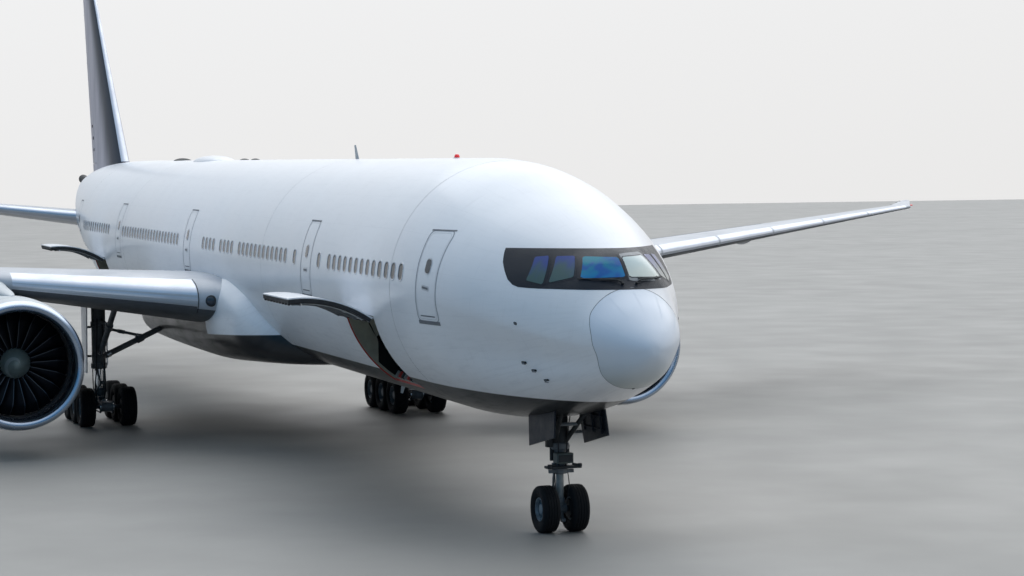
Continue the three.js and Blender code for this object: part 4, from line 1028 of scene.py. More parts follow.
def cockpit_mask():
    """The black band round the cockpit glass."""
    form = Form()
    levels = {row[0] for row in MASK_END} | {round(z, 3) for z in spread(5.80, 6.60, 20)}
    rows = []
    for z in sorted(levels):
        start, end = top_station(z) + 0.002, mask_end(z)
        right, left = [[skin(s, skin_angle(s, z, side), 0.004) for s in (
            start + (end - start) * t * t for t in spread(0, 1, 36))] for side in (-1, 1)]
        rows.append(right[::-1] + left[1:])
    form.grid(rows, 0)
    return piece("cockpit_mask", form, "airframe", [MASK_BLACK], sharp=50)


# Corners of the panes as (station, height): top aft, top forward, bottom forward, bottom aft.
PANES = (
    ((2.45, 6.45), (1.98, 6.43), (1.50, 6.02), (1.99, 6.00)),
    ((3.00, 6.45), (2.62, 6.46), (2.16, 6.02), (2.70, 5.89)),
    ((3.47, 6.43), (3.17, 6.46), (2.83, 5.85), (3.31, 5.93)),
)


def reach(station, z):
    """The half width of the fuselage at a station and height."""
    height = z - datum(station) - section(station)[3]
    half_width, _, rise = half_section(station, height > 0)
    return half_width * math.sqrt(max(1 - (height / rise) ** 2, 0.0))


def front(y, z, out):
    """The point on the nose, seen from ahead, at a distance to port and a height."""
    station = station_where(lambda s: reach(s, z) < abs(y), top_station(z), 34)
    half_width, widest, rise = half_section(station, True)
    return skin(station, math.atan2((z - datum(station) - widest) / rise, y / half_width), out)


POST_HALF_WIDTH = 0.045


def pane(form, corners, side, grow, out, kind, cut=0.12):
    """A pane with cut corners, laid on the skin."""
    corners = [(max(reach(s, z), POST_HALF_WIDTH), z) for s, z in corners]
    middle = tuple(sum(corner[k] for corner in corners) / 4 for k in (0, 1))
    points = []
    for i, corner in enumerate(corners):
        before, after = corners[i - 1], corners[(i + 1) % 4]
        for other in (before, after):
            points.append(tuple(lerp(corner[k], other[k], cut) for k in (0, 1)))
    outline = []
    for (y0, z0), (y1, z1) in zip(points, points[1:] + points[:1]):
        ahead = Vector((y1 - y0, z1 - z0)).normalized()
        for t in (0.0, 0.25, 0.5, 0.75):
            outline.append((lerp(y0, y1, t), lerp(z0, z1, t), ahead))
    turn = sum((y - middle[0]) * a.y - (z - middle[1]) * a.x for y, z, a in outline)
    rings = []
    for shrink in (1.0, 0.85, 0.65, 0.45, 0.25):
        ring = []
        for y, z, ahead in outline:
            away = Vector((ahead.y, -ahead.x)) * (grow if turn > 0 else -grow)
            y = lerp(middle[0], y + away.x, shrink)
            z = lerp(middle[1], z + away.y, shrink)
            ring.append(front(side * max(y, 0.004), z, out))
        rings.append(ring)
    form.grid(rings, kind, around=True)
    form.face(rings[-1], kind)


# A wiper's blade and its arm. Columns: distance out, height, and for the arm distance off the skin.
WIPER_BLADE = ((0.22, 5.975), (0.45, 5.965), (0.7, 5.965), (0.95, 5.98))
WIPER_ARM = ((0.16, 5.885, 0.0), (0.18, 5.89, 0.05), (0.26, 5.935, 0.055), (0.5, 5.955, 0.045),
             (0.6, 5.962, 0.04))


def cockpit_glass():
    """Panes in their frames, wipers and the middle post. The foremost port pane is pale glass in a grey band
    on the black mask: painted glare.
    """
    for label, side in SIDES:
        form = Form()
        for number, corners in enumerate(PANES):
            # Painted glare on the foremost port pane and round it.
            bright = number == 0 and side > 0
            pane(form, corners, side, 0.08 if bright else 0.03, 0.008, 4 if bright else 2, 0.06)
            if bright:
                pane(form, corners, side, 0.022, 0.0105, 2, 0.06)
            pane(form, corners, side, 0.0, 0.013, 1 if bright else (5 if number else 0), 0.06)
        form.tube([front(side * y, z, 0.035) for y, z in WIPER_BLADE], 0.014, 8, 3)
        form.tube([front(side * y, z, out) for y, z, out in WIPER_ARM],
                  [0.024, 0.022, 0.018, 0.014, 0.01], 8, 3)
        form.tube([front(side * 0.16, 5.885, out) for out in (-0.01, 0.055)], 0.032, 12, 3)
        piece(f"cockpit_glass_{label}", form, "airframe",
              [WINDSHIELD_PAINTED_REFLECTION, COCKPIT_GLARE, MASK_BLACK, GEAR_DARK, MASK_GLARE_BAND, SIDE_PANE_PAINTED_REFLECTION], sharp=50)
    form = Form()
    heights = spread(5.95, 6.5, 12)
    form.grid([[front(y, z, 0.012) for z in heights] for y in (-0.022, -0.012, 0.012, 0.022)], 0)
    piece("windshield_post", form, "airframe", [MASK_BLACK], sharp=50)


# Cargo doors

CARGO_TOP = 15.0
CARGO_SILL = 57.0
CARGO_TURN = 140.0
CARGO_THICKNESS = 0.13
CARGO_GAP = 0.016


def below(station, degrees, radius):
    """A point on the starboard side, a number of degrees below the horizontal."""
    angle = math.radians(degrees)
    return place(station, -radius * math.cos(angle), datum(station) - radius * math.sin(angle))


def cargo_door(doorway):
    """A cargo door built shut and then swung up about its hinge, as the frame has it."""
    name, first, last, _, _ = doorway
    form = Form()
    lap = math.degrees(CARGO_GAP / RADIUS)
    top, sill = CARGO_TOP + lap, CARGO_SILL - lap
    near, far = first + CARGO_GAP, last - CARGO_GAP
    turns = spread(top, sill, 28)
    stations = spread(near, far, 24)
    outer = [[below(s, a, RADIUS) for a in turns] for s in stations]
    inner_radius = RADIUS - CARGO_THICKNESS
    inner = [[below(s, a, inner_radius) for a in turns] for s in stations]
    form.grid(outer, 0)
    form.grid(inner, 1)
    for s in (near, far):
        form.grid([[below(s, a, r) for a in turns] for r in (RADIUS, RADIUS - 0.03)], 0)
        form.grid([[below(s, a, r) for a in turns] for r in (RADIUS - 0.03, inner_radius)], 2)
    for a in (top, sill):
        form.grid([[below(s, a, r) for s in stations] for r in (RADIUS, RADIUS - 0.03)], 0)
        form.grid([[below(s, a, r) for s in stations] for r in (RADIUS - 0.03, inner_radius)], 2)
    cargo_door_frames(form, near, far, top, sill, inner_radius)
    cargo_door_hinge(form, first, last)
    hinge = below(first, CARGO_TOP, RADIUS + 0.01)
    axis = Vector((1, 0, -DATUM_RISE)).normalized()
    turn = Matrix.Translation(hinge) @ Matrix.Rotation(math.radians(-CARGO_TURN), 4, axis)
    turn = turn @ Matrix.Translation(-hinge)
    form.points = [turn @ point for point in form.points]
    node = name + "_cargo_door"
    return piece(node + "_panel", form, node,
                 [WHITE_PLAIN, LINING_PALE, SEAL, GEAR_GREY, CHROME, BLACK], [node], sharp=35)


def curved_rib(form, station, half_width, top, sill, deep, shallow, kind):
    """A rib that follows the door's inner face."""
    outline = ((-1, shallow), (-1, deep + 0.02), (-0.7, deep), (0.7, deep), (1, deep + 0.02), (1, shallow))
    form.loft([[below(station + half_width * across, a, r) for across, r in outline]
               for a in spread(top, sill, 18)], kind)


def cargo_door_frames(form, near, far, top, sill, radius):
    """Frames, a torque tube with its links, latch hooks and the seal inside a cargo door."""
    for t in (0.2, 0.5, 0.8):
        curved_rib(form, lerp(near, far, t), 0.05, top + 4, sill - 4, radius - 0.09, radius + 0.01, 3)
    for t in (0.06, 0.35, 0.65, 0.94):
        curved_rib(form, lerp(near, far, t), 0.028, top + 3, sill - 2, radius - 0.045, radius + 0.01, 1)
    for a in (lerp(top, sill, 0.28), lerp(top, sill, 0.62)):
        rings = []
        for s in spread(near + 0.12, far - 0.12, 20):
            rings.append([below(s, a + da, r) for da, r in (
                (-0.6, radius + 0.01), (-0.6, radius - 0.05), (0.6, radius - 0.05), (0.6, radius + 0.01))])
        form.loft(rings, 1)
    tube = [below(s, sill - 6.5, radius - 0.055) for s in spread(near + 0.1, far - 0.1, 8)]
    form.tube(tube, 0.028, 12, 4)
    for t in spread(0.04, 0.96, 8):
        s = lerp(near, far, t)
        form.tube([below(s, sill - 6.5, radius - 0.055), below(s, sill - 1.5, radius - 0.02)], 0.02, 8, 3)
        hook = [below(s + dx, sill - 0.6, radius - 0.02) for dx in (-0.035, 0.035)]
        form.tube(hook, 0.032, 10, 5)
    rim = [(near + 0.05, top + 1), (far - 0.05, top + 1), (far - 0.05, sill - 1), (near + 0.05, sill - 1)]
    for (s0, a0), (s1, a1) in zip(rim, rim[1:] + rim[:1]):
        path = [below(lerp(s0, s1, t), lerp(a0, a1, t), radius - 0.004) for t in spread(0, 1, 16)]
        form.tube(path, 0.018, 8, 2)


HINGE_COUNT = 9


def cargo_door_hinge(form, first, last):
    """A piano hinge: knuckles on a pin, each with a strap over the door's skin."""
    for i in range(HINGE_COUNT):
        low = lerp(first + 0.01, last - 0.01, i / HINGE_COUNT)
        high = lerp(first + 0.01, last - 0.01, (i + 0.86) / HINGE_COUNT)
        form.tube([below(s, CARGO_TOP, RADIUS + 0.01) for s in (low, high)], 0.033, 14, 3)
        rings = [[below(s, a, r) for a, r in (
            (CARGO_TOP + 0.2, RADIUS + 0.02), (CARGO_TOP + 3.2, RADIUS + 0.004),
            (CARGO_TOP + 3.2, RADIUS - 0.01), (CARGO_TOP + 0.2, RADIUS - 0.02))] for s in (low, high)]
        form.loft(rings, 0)
    form.tube([below(s, CARGO_TOP, RADIUS + 0.01) for s in (first + 0.003, last - 0.003)], 0.014, 10, 4)


# Aerofoils

# Columns: fraction of the chord, half thickness as a fraction of the greatest half thickness.
AEROFOIL = ((0.0, 0.0), (0.012, 0.36), (0.04, 0.6), (0.1, 0.82), (0.22, 0.97), (0.38, 1.0), (0.58, 0.86),
            (0.72, 0.62), (1.0, 0.03))
AEROFOIL_CURVE = Curve([math.sqrt(row[0]) for row in AEROFOIL], [row[1] for row in AEROFOIL])
UP = Vector((0, 0, 1))
ACROSS = Vector((0, 1, 0))


class Row:
    """One chord of a wing: station of its leading edge, y, z, chord and thickness."""

    def __init__(self, station, y, z, chord, thickness):
        self.values = (station, y, z, chord, thickness)

    def towards(self, other, t):
        return Row(*(lerp(a, b, t) for a, b in zip(self.values, other.values)))

    def half(self, fraction):
        _, _, _, chord, thickness = self.values
        return chord * thickness * AEROFOIL_CURVE(math.sqrt(clamp(fraction, 0, 1))) / 2

    def at(self, fraction, side, up, out=0.0):
        station, y, z, chord, _ = self.values
        height = (self.half(fraction) + out) * side * SCALE
        return place(station + fraction * chord, y, z) + up * height

    def hinge(self, fraction):
        station, y, z, chord, _ = self.values
        return place(station + fraction * chord, y, z)


FRACTIONS = (0, 0.002, 0.006, 0.012, 0.022, 0.036, 0.055, 0.08, 0.115, 0.16, 0.22, 0.29, 0.38, 0.47, 0.56,
             0.64)


def fractions_to(limit, extra=()):
    return sorted({f for f in FRACTIONS if f < limit - 0.01} | {limit} | {f for f in extra if f < limit})


def surface_strip(form, low, high, limit, up, steps, back=0, under=0):
    """The fixed part of a wing between two rows, from the leading edge back to a fraction of the chord."""
    fractions = fractions_to(limit, (0.72, 0.86) if limit > 0.9 else ())
    chords = [low.towards(high, t) for t in spread(0, 1, steps)]
    rows = [[row.at(f, -1, up) for f in fractions[:0:-1]] + [row.at(f, 1, up) for f in fractions]
            for row in chords]
    split = len(fractions) - 4
    form.grid([row[:split + 1] for row in rows], under)
    form.grid([row[split:] for row in rows])
    if limit < 0.99:
        form.grid([[row.at(f, way, up) for f, way in (
            (limit, 1), (limit - 0.01, 0.5), (limit - 0.01, -0.5), (limit, -1))] for row in chords], back)
    form.face(rows[0])
    form.face(rows[-1])


def moving_surface(low, high, start, end, fraction, up, steps=10):
    """A hinged surface with a round nose about its hinge line."""
    rows = []
    aft = [lerp(fraction, 1, t) for t in (0.15, 0.4, 0.7, 1.0)]
    for t in spread(start, end, steps):
        row = low.towards(high, t)
        radius = row.half(fraction) * SCALE
        nose = [row.hinge(fraction) + Vector((-math.cos(a) * radius, 0, 0)) + up * (math.sin(a) * radius)
                for a in spread(math.pi * 1.5, math.pi * 0.5, 8)]
        rows.append([row.at(f, -1, up) for f in aft[::-1]] + nose + [row.at(f, 1, up) for f in aft])
    form = Form()
    form.loft(rows)
    return form


def edge_rows(low, high, places, up, out, upper, lower):
    """Rows of a thin shell over a leading edge, tucked into the surface at both of its edges."""
    rows = []
    for t in places:
        row = low.towards(high, t)
        rows.append(
            [row.at(lower[-1], -1, up, -0.01)] + [row.at(f, -1, up, out) for f in lower[::-1]]
            + [row.at(0.0, 1, up) + Vector((0.008 * SCALE, 0, 0))]
            + [row.at(f, 1, up, out) for f in upper] + [row.at(upper[-1], 1, up, -0.01)]
        )
    return rows


# Wings

WING_LE = 24.67
WING_SLOPE = 0.687
WING_ROOT_Y, WING_KINK_Y, WING_TIP_Y, WING_RAKE_Y = 3.02, 10.7, 30.47, 32.4
WING_ROOT_Z, WING_RISE = 4.5, 0.088
WING_TE_CENTRE, WING_TE_KINK, WING_TE_TIP = 40.26, 39.4, 47.66


def wing_row(y, trailing, thickness):
    leading = WING_LE + WING_SLOPE * y
    return Row(leading, y, WING_ROOT_Z + WING_RISE * (y - WING_ROOT_Y), trailing - leading, thickness)


WING_ROOT = wing_row(WING_ROOT_Y, lerp(WING_TE_CENTRE, WING_TE_KINK, WING_ROOT_Y / WING_KINK_Y), 0.125)
WING_KINK = wing_row(WING_KINK_Y, WING_TE_KINK, 0.108)
WING_TIP = wing_row(WING_TIP_Y, WING_TE_TIP, 0.1)
WING_RAKE = Row(49.3, WING_RAKE_Y, WING_ROOT_Z + WING_RISE * (WING_RAKE_Y - WING_ROOT_Y) + 0.05, 0.75, 0.1)
# Columns: first row, last row, start and end along them, how far back the fixed part reaches.
WING_STRIPS = (
    (WING_ROOT, WING_KINK, 0.0, 0.05, 1.0),
    (WING_ROOT, WING_KINK, 0.05, 0.74, 0.738),
    (WING_ROOT, WING_KINK, 0.74, 0.77, 1.0),
    (WING_ROOT, WING_KINK, 0.77, 0.985, 0.75),
    (WING_ROOT, WING_KINK, 0.985, 1.0, 1.0),
    (WING_KINK, WING_TIP, 0.0, 0.02, 1.0),
    (WING_KINK, WING_TIP, 0.02, 0.6, 0.738),
    (WING_KINK, WING_TIP, 0.6, 0.62, 1.0),
    (WING_KINK, WING_TIP, 0.62, 0.94, 0.735),
    (WING_KINK, WING_TIP, 0.94, 1.0, 1.0),
    (WING_TIP, WING_RAKE, 0.0, 1.0, 1.0),
)
GAP = 0.006


def wing_body():
    form = Form()
    for low, high, start, end, limit in WING_STRIPS:
        first, last = low.towards(high, start), low.towards(high, end)
        steps = max(2, round(12 * (end - start)) * 2)
        surface_strip(form, first, last, limit, UP, steps, back=1, under=2)
    return form


FLAP_FRACTIONS = (0.741, 0.75, 0.78, 0.84, 0.92, 1.0)


def wing_flap(low, high, start, end):
    rows = []
    margin = GAP / abs(high.values[1] - low.values[1])
    for t in spread(start + margin, end - margin, 10):
        row = low.towards(high, t)
        under = [row.at(f, -1, UP) for f in FLAP_FRACTIONS[::-1]]
        rows.append(under + [row.at(f, 1, UP) for f in FLAP_FRACTIONS])
    form = Form()
    form.loft(rows)
    return form


# Columns: first row, last row, start and end of one slat along them.
SLATS = (
    (WING_ROOT, WING_KINK, 0.125, 0.8),
    (WING_KINK, WING_TIP, 0.03, 0.19),
    (WING_KINK, WING_TIP, 0.195, 0.355),
    (WING_KINK, WING_TIP, 0.36, 0.52),
    (WING_KINK, WING_TIP, 0.525, 0.685),
    (WING_KINK, WING_TIP, 0.69, 0.84),
    (WING_KINK, WING_TIP, 0.845, 0.985),
)
SLAT_UPPER = (0.004, 0.01, 0.02, 0.036, 0.055, 0.078)
SLAT_LOWER = (0.006, 0.014, 0.024, 0.036)


def slats():
    """Polished leading-edge slats, a thin shell over the nose of the wing, with their lower faces in painted
    shade.
    """
    form = Form()
    for low, high, start, end in SLATS:
        rows = edge_rows(low, high, spread(start, end, 8), UP, 0.008, SLAT_UPPER, SLAT_LOWER)
        form.grid([row[:5] for row in rows], 1)
        form.grid([row[4:] for row in rows], 0)
        form.face(rows[0])
        form.face(rows[-1])
    return form


# Columns: y, length ahead of the trailing edge, length behind it, depth below the wing, half width.
TRACK_FAIRINGS = (
    (7.7, 4.4, 0.9, 0.62, 0.24),
    (12.4, 3.4, 0.9, 0.5, 0.2),
    (17.0, 2.9, 0.8, 0.42, 0.17),
    (21.4, 2.4, 0.7, 0.36, 0.15),
)


def wing_row_at(y):
    low, high = (WING_ROOT, WING_KINK) if y < WING_KINK_Y else (WING_KINK, WING_TIP)
    return low.towards(high, (y - low.values[1]) / (high.values[1] - low.values[1]))


def track_fairings():
    form = Form()
    for y, ahead, behind, depth, half_width in TRACK_FAIRINGS:
        station, _, z, chord, _ = wing_row_at(y).values
        trailing = station + chord
        rings = []
        for t in spread(0, 1, 28):
            swell = max(math.sin(math.pi * t) ** 0.7, 0.03)
            s = lerp(trailing - ahead, trailing + behind, t)
            middle = z - lerp(0.1, 0.16, t) - depth * swell / 2
            half = (depth / 2 + 0.1) * swell
            rings.append([place(s, y + half_width * swell * math.cos(a), middle + half * math.sin(a))
                          for a in full_turn(24)])
        form.loft(rings)
    return form


# Columns: first row, last row, start and end of a run of spoilers along them, how many.
SPOILERS = ((WING_ROOT, WING_KINK, 0.08, 0.7, 2), (WING_KINK, WING_TIP, 0.04, 0.58, 5))
# One panel's section. Columns: fraction of the chord, distance out of the surface.
SPOILER_SECTION = ((0.62, -0.02), (0.62, 0.010), (0.66, 0.012), (0.70, 0.012), (0.733, 0.008), (0.733, -0.02))


def spoilers():
    """Spoiler panels on the wing's upper side, ahead of the flaps."""
    form = Form()
    for low, high, start, end, count in SPOILERS:
        for i in range(count):
            first = lerp(start, end, i / count) + 0.004
            last = lerp(start, end, (i + 1) / count) - 0.004
            chords = [low.towards(high, t) for t in spread(first, last, 5)]
            rows = [[row.at(f, 1, UP, out) for f, out in SPOILER_SECTION] for row in chords]
            form.grid(rows)
            form.face(rows[0])
            form.face(rows[-1])
    return form


def static_wicks(low, high, places, up, form=None):
    """Short rods that trail from the edge of a wing or the fin."""
    form = form or Form()
    for t in places:
        start = low.towards(high, t).at(1.0, 0, up)
        form.tube([start, start + Vector((-0.16 * SCALE, 0, 0))], 0.007, 6)
    return form


def wings():
    inboard = wing_flap(WING_ROOT, WING_KINK, 0.05, 0.74)
    outboard = wing_flap(WING_KINK, WING_TIP, 0.02, 0.6)
    flaperon = moving_surface(WING_ROOT, WING_KINK, 0.77, 0.985, 0.78, UP)
    aileron = moving_surface(WING_KINK, WING_TIP, 0.62, 0.94, 0.76, UP)
    wicks = static_wicks(WING_KINK, WING_TIP, (0.65, 0.7, 0.75, 0.8, 0.85, 0.9, 0.96), UP)
    wicks = static_wicks(WING_TIP, WING_RAKE, (0.3, 0.7, 0.95), UP, wicks)
    grey = [WING_GREY]
    sided(
        ("wing_surface", wing_body(), "airframe", "wing_grey", [WING_GREY, SEAL, WING_UNDER_SHADE], "wing_*", 38),
        ("inboard_flap_skin", inboard, "airframe", "wing_grey", grey, "inboard_flap_*", 38),
        ("outboard_flap_skin", outboard, "airframe", "wing_grey", grey, "outboard_flap_*", 38),
        ("flaperon_skin", flaperon, "flaperon_*", "wing_grey", grey, "flaperon_*", 38),
        ("aileron_skin", aileron, "aileron_*", "wing_grey", grey, "aileron_*", 38),
        ("slats", slats(), "airframe", "bare_metal", [SLAT_METAL, WING_UNDER_SHADE], None, 38),
        ("flap_tracks", track_fairings(), "airframe", "wing_grey", grey, None, 38),
        ("spoilers", spoilers(), "airframe", "wing_grey", grey, None, 38),
        ("wing_wicks", wicks, "airframe", "black_paint", [GEAR_DARK], None, 38),
    )


# Fairing under the wing root. Columns: station, half width, top and bottom height from the datum.
FAIRING = (
    (22.6, 1.2, -2.4, -2.95),
    (24.0, 2.7, -1.45, -3.06),
    (25.6, 3.32, -0.6, -3.16),
    (28.0, 3.5, -0.2, -3.3),
    (31.0, 3.5, -0.2, -3.44),
    (36.0, 3.46, -0.3, -3.46),
    (40.0, 3.36, -0.62, -3.42),
    (43.4, 2.75, -1.6, -3.25),
    (46.2, 1.2, -2.5, -2.95),
)
FAIRING_CURVES = columns(FAIRING, 1, 2, 3)
FAIRING_SQUARENESS = 0.6


def squared(value):
    return math.copysign(abs(value) ** FAIRING_SQUARENESS, value)


def wing_fairing():
    form = Form()
    rings = []
    for s in spread(FAIRING[0][0], FAIRING[-1][0], 90):
        half_width, top, bottom = [curve(s) for curve in FAIRING_CURVES]
        middle, half = datum(s) + (top + bottom) / 2, (top - bottom) / 2
        rings.append([place(s, half_width * squared(math.cos(a)), middle + half * squared(math.sin(a)))
                      for a in full_turn(72)])
    form.loft(rings)
    return piece("wing_root_fairing", form, "airframe", [FAIRING_PAINT], ["wing_fairing"],
                 sharp=60)


# Tail

FIN_ROOT = Row(62.4, 0, 9.0, 8.9, 0.1)
FIN_TIP = Row(71.35, 0, 18.5, 2.51, 0.09)
STABILISER_ROOT = Row(63.0, 1.2, 6.72, 7.6, 0.1)
STABILISER_TIP = Row(71.0, 10.77, 7.9, 2.5, 0.09)
# Heights up the fin of the hinge fittings that show on both sides of the rudder.
RUDDER_FITTINGS = (0.218, 0.158, 0.099)
STABILISER_EDGE = (0.004, 0.012, 0.03, 0.05)


def tail_surface(root, tip, foot, low, high, foot_steps, limit, up, steps, back=0):
    """The fixed part of a fin or stabiliser, with its full chord at foot and tip and cut back between."""
    form = Form()
    rows = [root.towards(tip, t) for t in (foot, low, high, 1.0)]
    surface_strip(form, rows[0], rows[1], 1.0, up, foot_steps)
    surface_strip(form, rows[1], rows[2], limit, up, steps, back)
    surface_strip(form, rows[2], rows[3], 1.0, up, 1)
    return form


def tail_surfaces():
    """Fin, rudder, stabilisers, elevators, their bright edges and fittings, and the exhaust in the tail."""
    fin = tail_surface(FIN_ROOT, FIN_TIP, -0.04, 0.03, 0.96, 1, 0.665, ACROSS, 14)
    piece("fin_skin", fin, "airframe", [FIN_PAINT], ["fin"], sharp=38)
    rudder = moving_surface(FIN_ROOT, FIN_TIP, 0.032, 0.955, 0.7, ACROSS, 14)
    piece("rudder_skin", rudder, "rudder", [FIN_PAINT], ["rudder"], sharp=38)
    edge = Form()
    edge.grid(edge_rows(FIN_ROOT, FIN_TIP, spread(0.03, 0.99, 12), ACROSS, 0.006,
                        (0.002, 0.008, 0.02, 0.035), (0.001, 0.003, 0.006, 0.009)))
    piece("fin_leading_edge", edge, "airframe", [SLAT_METAL], sharp=40)
    fittings = Form()
    for t in RUDDER_FITTINGS:
        row = FIN_ROOT.towards(FIN_TIP, t)
        for way in (-1, 1):
            fittings.tube([row.at(0.79, way, ACROSS, out) for out in (-0.02, 0.03)], 0.075)
    piece("rudder_fittings", fittings, "rudder", [GEAR_DARK], sharp=40)
    pipe = Form()
    pipe.tube([place(s, y, datum(s) + z) for s, y, z in (
        (72.3, -0.12, 2.1), (73.2, -0.2, 2.22), (73.34, -0.21, 2.23))], [0.2, 0.22, 0.21], 28)
    piece("tail_exhaust", pipe, "airframe", [GEAR_DARK], sharp=40)
    wicks = static_wicks(FIN_ROOT, FIN_TIP, (0.55, 0.68, 0.8, 0.9), ACROSS)
    piece("rudder_wicks", wicks, "rudder", [GEAR_DARK])
    fixed = tail_surface(STABILISER_ROOT, STABILISER_TIP, 0.0, 0.12, 0.95, 2, 0.67, UP, 12, back=1)
    elevator = moving_surface(STABILISER_ROOT, STABILISER_TIP, 0.122, 0.948, 0.7, UP, 12)
    nose = Form()
    nose.grid(edge_rows(STABILISER_ROOT, STABILISER_TIP, spread(0.08, 0.99, 12), UP, 0.008,
                        STABILISER_EDGE, STABILISER_EDGE))
    sided(
        ("stabiliser_skin", fixed, "stabiliser", "wing_grey", [WING_GREY, SEAL], "stabiliser_*", 38),
        ("elevator_skin", elevator, "elevator_*", "wing_grey", [WING_GREY], "elevator_*", 38),
        ("stabiliser_edge", nose, "stabiliser", "bare_metal", [SLAT_METAL], None, 40),
    )


# Engines

ENGINE_Y = 9.61
ENGINE_Z = 2.83
ENGINE_SIDES = 96
AFT = Vector((-1, 0, 0))
# Columns: station, radius. The lip's row is the foremost.
DUCT = ((29.6, 1.63), (27.3, 1.63), (26.9, 1.61), (26.55, 1.595))
LIP = ((26.55, 1.595), (26.3, 1.585), (26.15, 1.583), (26.05, 1.588), (25.93, 1.612), (25.83, 1.655),
       (25.77, 1.705), (25.75, 1.76), (25.76, 1.80), (25.8, 1.84), (25.88, 1.87), (26.0, 1.90),
       (26.12, 1.923))
COWL = ((26.12, 1.923), (26.4, 1.958), (26.9, 1.99), (27.5, 2.003), (28.2, 2.0), (29.0, 1.98), (29.8, 1.94),
        (30.6, 1.865), (31.4, 1.75), (32.1, 1.625), (32.7, 1.5), (32.7, 1.46), (31.9, 1.55), (31.2, 1.61),
        (29.6, 1.63))
CORE = ((27.9, 0.5), (28.3, 0.62), (29.1, 0.9), (30.0, 1.1), (30.9, 1.17), (31.8, 1.16), (32.6, 1.09),
        (33.4, 0.98), (34.2, 0.8), (34.2, 0.74), (33.4, 0.72))
PLUG = ((33.4, 0.58), (34.2, 0.5), (34.8, 0.33), (35.2, 0.19), (35.45, 0.07), (35.5, 0.0))
FAN_BLADES = 22
# Columns: radius, station of the blade's middle, chord, turn from the axis in degrees.
BLADE_ROWS = (
    (0.36, 27.36, 0.3, 28), (0.62, 27.29, 0.45, 35), (0.85, 27.24, 0.52, 42), (1.05, 27.2, 0.58, 49),
    (1.25, 27.2, 0.62, 55), (1.42, 27.25, 0.6, 60), (1.565, 27.32, 0.56, 63),
)
BLADE_CURVES = columns(BLADE_ROWS, 1, 2, 3)
# Columns: distance along the blade's section, half thickness as a fraction of the greatest.
BLADE_SHAPE = ((0.0, 0.0), (0.04, 0.4), (0.15, 0.75), (0.4, 1.0), (0.7, 0.7), (0.93, 0.25), (1.0, 0.0))
BLADE_CAMBER = 0.04
COWL_OUTSIDE = Curve([row[0] for row in COWL[:11]], [row[1] for row in COWL[:11]])
COWL_JOINTS = (27.0, 28.75, 30.9)
STATOR_COUNT, STATOR_START, STATOR_CHORD, STATOR_LEAN = 44, 28.5, 0.36, math.tan(math.radians(14))
STATOR_OUTLINE = ((0, 0), (0.3, 0.012), (1, 0), (0.3, -0.012))


def nacelle(label, centre):
    cowl = Form()
    cowl.turned(COWL, centre, AFT, ENGINE_SIDES, 0)
    for station in COWL_JOINTS:
        radius = COWL_OUTSIDE(station) + 0.003
        cowl.turned(((station - 0.012, radius), (station + 0.012, radius)), centre, AFT, ENGINE_SIDES, 1)
    piece(f"nacelle_cowl_{label}", cowl, "airframe", [COWL_WHITE, SEAM_GREY],
          ["nacelle_" + label], sharp=35)
    lip = Form()
    lip.turned(LIP, centre, AFT, ENGINE_SIDES, 0)
    piece(f"nacelle_lip_{label}", lip, "airframe", [LIP_METAL], sharp=50)
    duct = Form()
    duct.turned(DUCT, centre, AFT, ENGINE_SIDES, 0)
    duct.turned(((27.05, 1.617), (27.05, 1.600), (27.6, 1.612), (27.6, 1.63)), centre, AFT, ENGINE_SIDES, 1)
    for turn in full_turn(STATOR_COUNT):
        outward = ACROSS * math.cos(turn) + UP * math.sin(turn)
        around = UP * math.cos(turn) - ACROSS * math.sin(turn)
        duct.loft([[
            centre + AFT * ((STATOR_START + u * STATOR_CHORD) * SCALE) + outward * (radius * SCALE)
            + around * ((v + STATOR_LEAN * (u - 0.5) * STATOR_CHORD) * SCALE) for u, v in STATOR_OUTLINE
        ] for radius in (0.82, 1.2, 1.6)], 2)
    piece(f"nacelle_duct_{label}", duct, "airframe", [DUCT_LINER_SHADE, SEAL, FAN_EDGE], sharp=35)
    core = Form()
    core.turned(CORE, centre, AFT, 72, 0)
    core.turned(PLUG, centre, AFT, 72, 1)
    core.turned(((27.9, 0.5), (28.0, 0.8), (28.9, 0.86)), centre, AFT, 72, 0)
    piece(f"engine_core_cowl_{label}", core, "airframe", [ENGINE_METAL, HOT_METAL],
          ["engine_core_" + label], sharp=35)


def fan_blade():
    """One blade over the engine's axis, with its curved section swept and twisted towards the tip."""
    form = Form()
    rows = []
    for radius in spread(BLADE_ROWS[0][0], BLADE_ROWS[-1][0], 16):
        station, chord, degrees = [curve(radius) for curve in BLADE_CURVES]
        turn = math.radians(degrees)
        along = Vector((-math.cos(turn), math.sin(turn), 0))
        across = Vector((math.sin(turn), math.cos(turn), 0))
        middle = place(station, 0, 0) + UP * (radius * SCALE)
        thick = lerp(0.032, 0.014, (radius - 0.36) / 1.2)
        upper, lower = [], []
        for t, half in BLADE_SHAPE:
            bow = BLADE_CAMBER * math.sin(math.pi * t)
            at = middle + along * ((t - 0.5) * chord * SCALE)
            upper.append(at + across * ((bow + half * thick) * SCALE))
            lower.append(at + across * ((bow - half * thick) * SCALE))
        rows.append(upper + lower[-2:0:-1])
    form.loft(rows)
    lift, nose_lift = Vector((0.003 * SCALE, 0, 0)), Vector((0.007 * SCALE, 0, 0))
    form.grid([[row[1] + lift, row[0] + nose_lift, row[-1] + lift] for row in rows], 1)
    return form


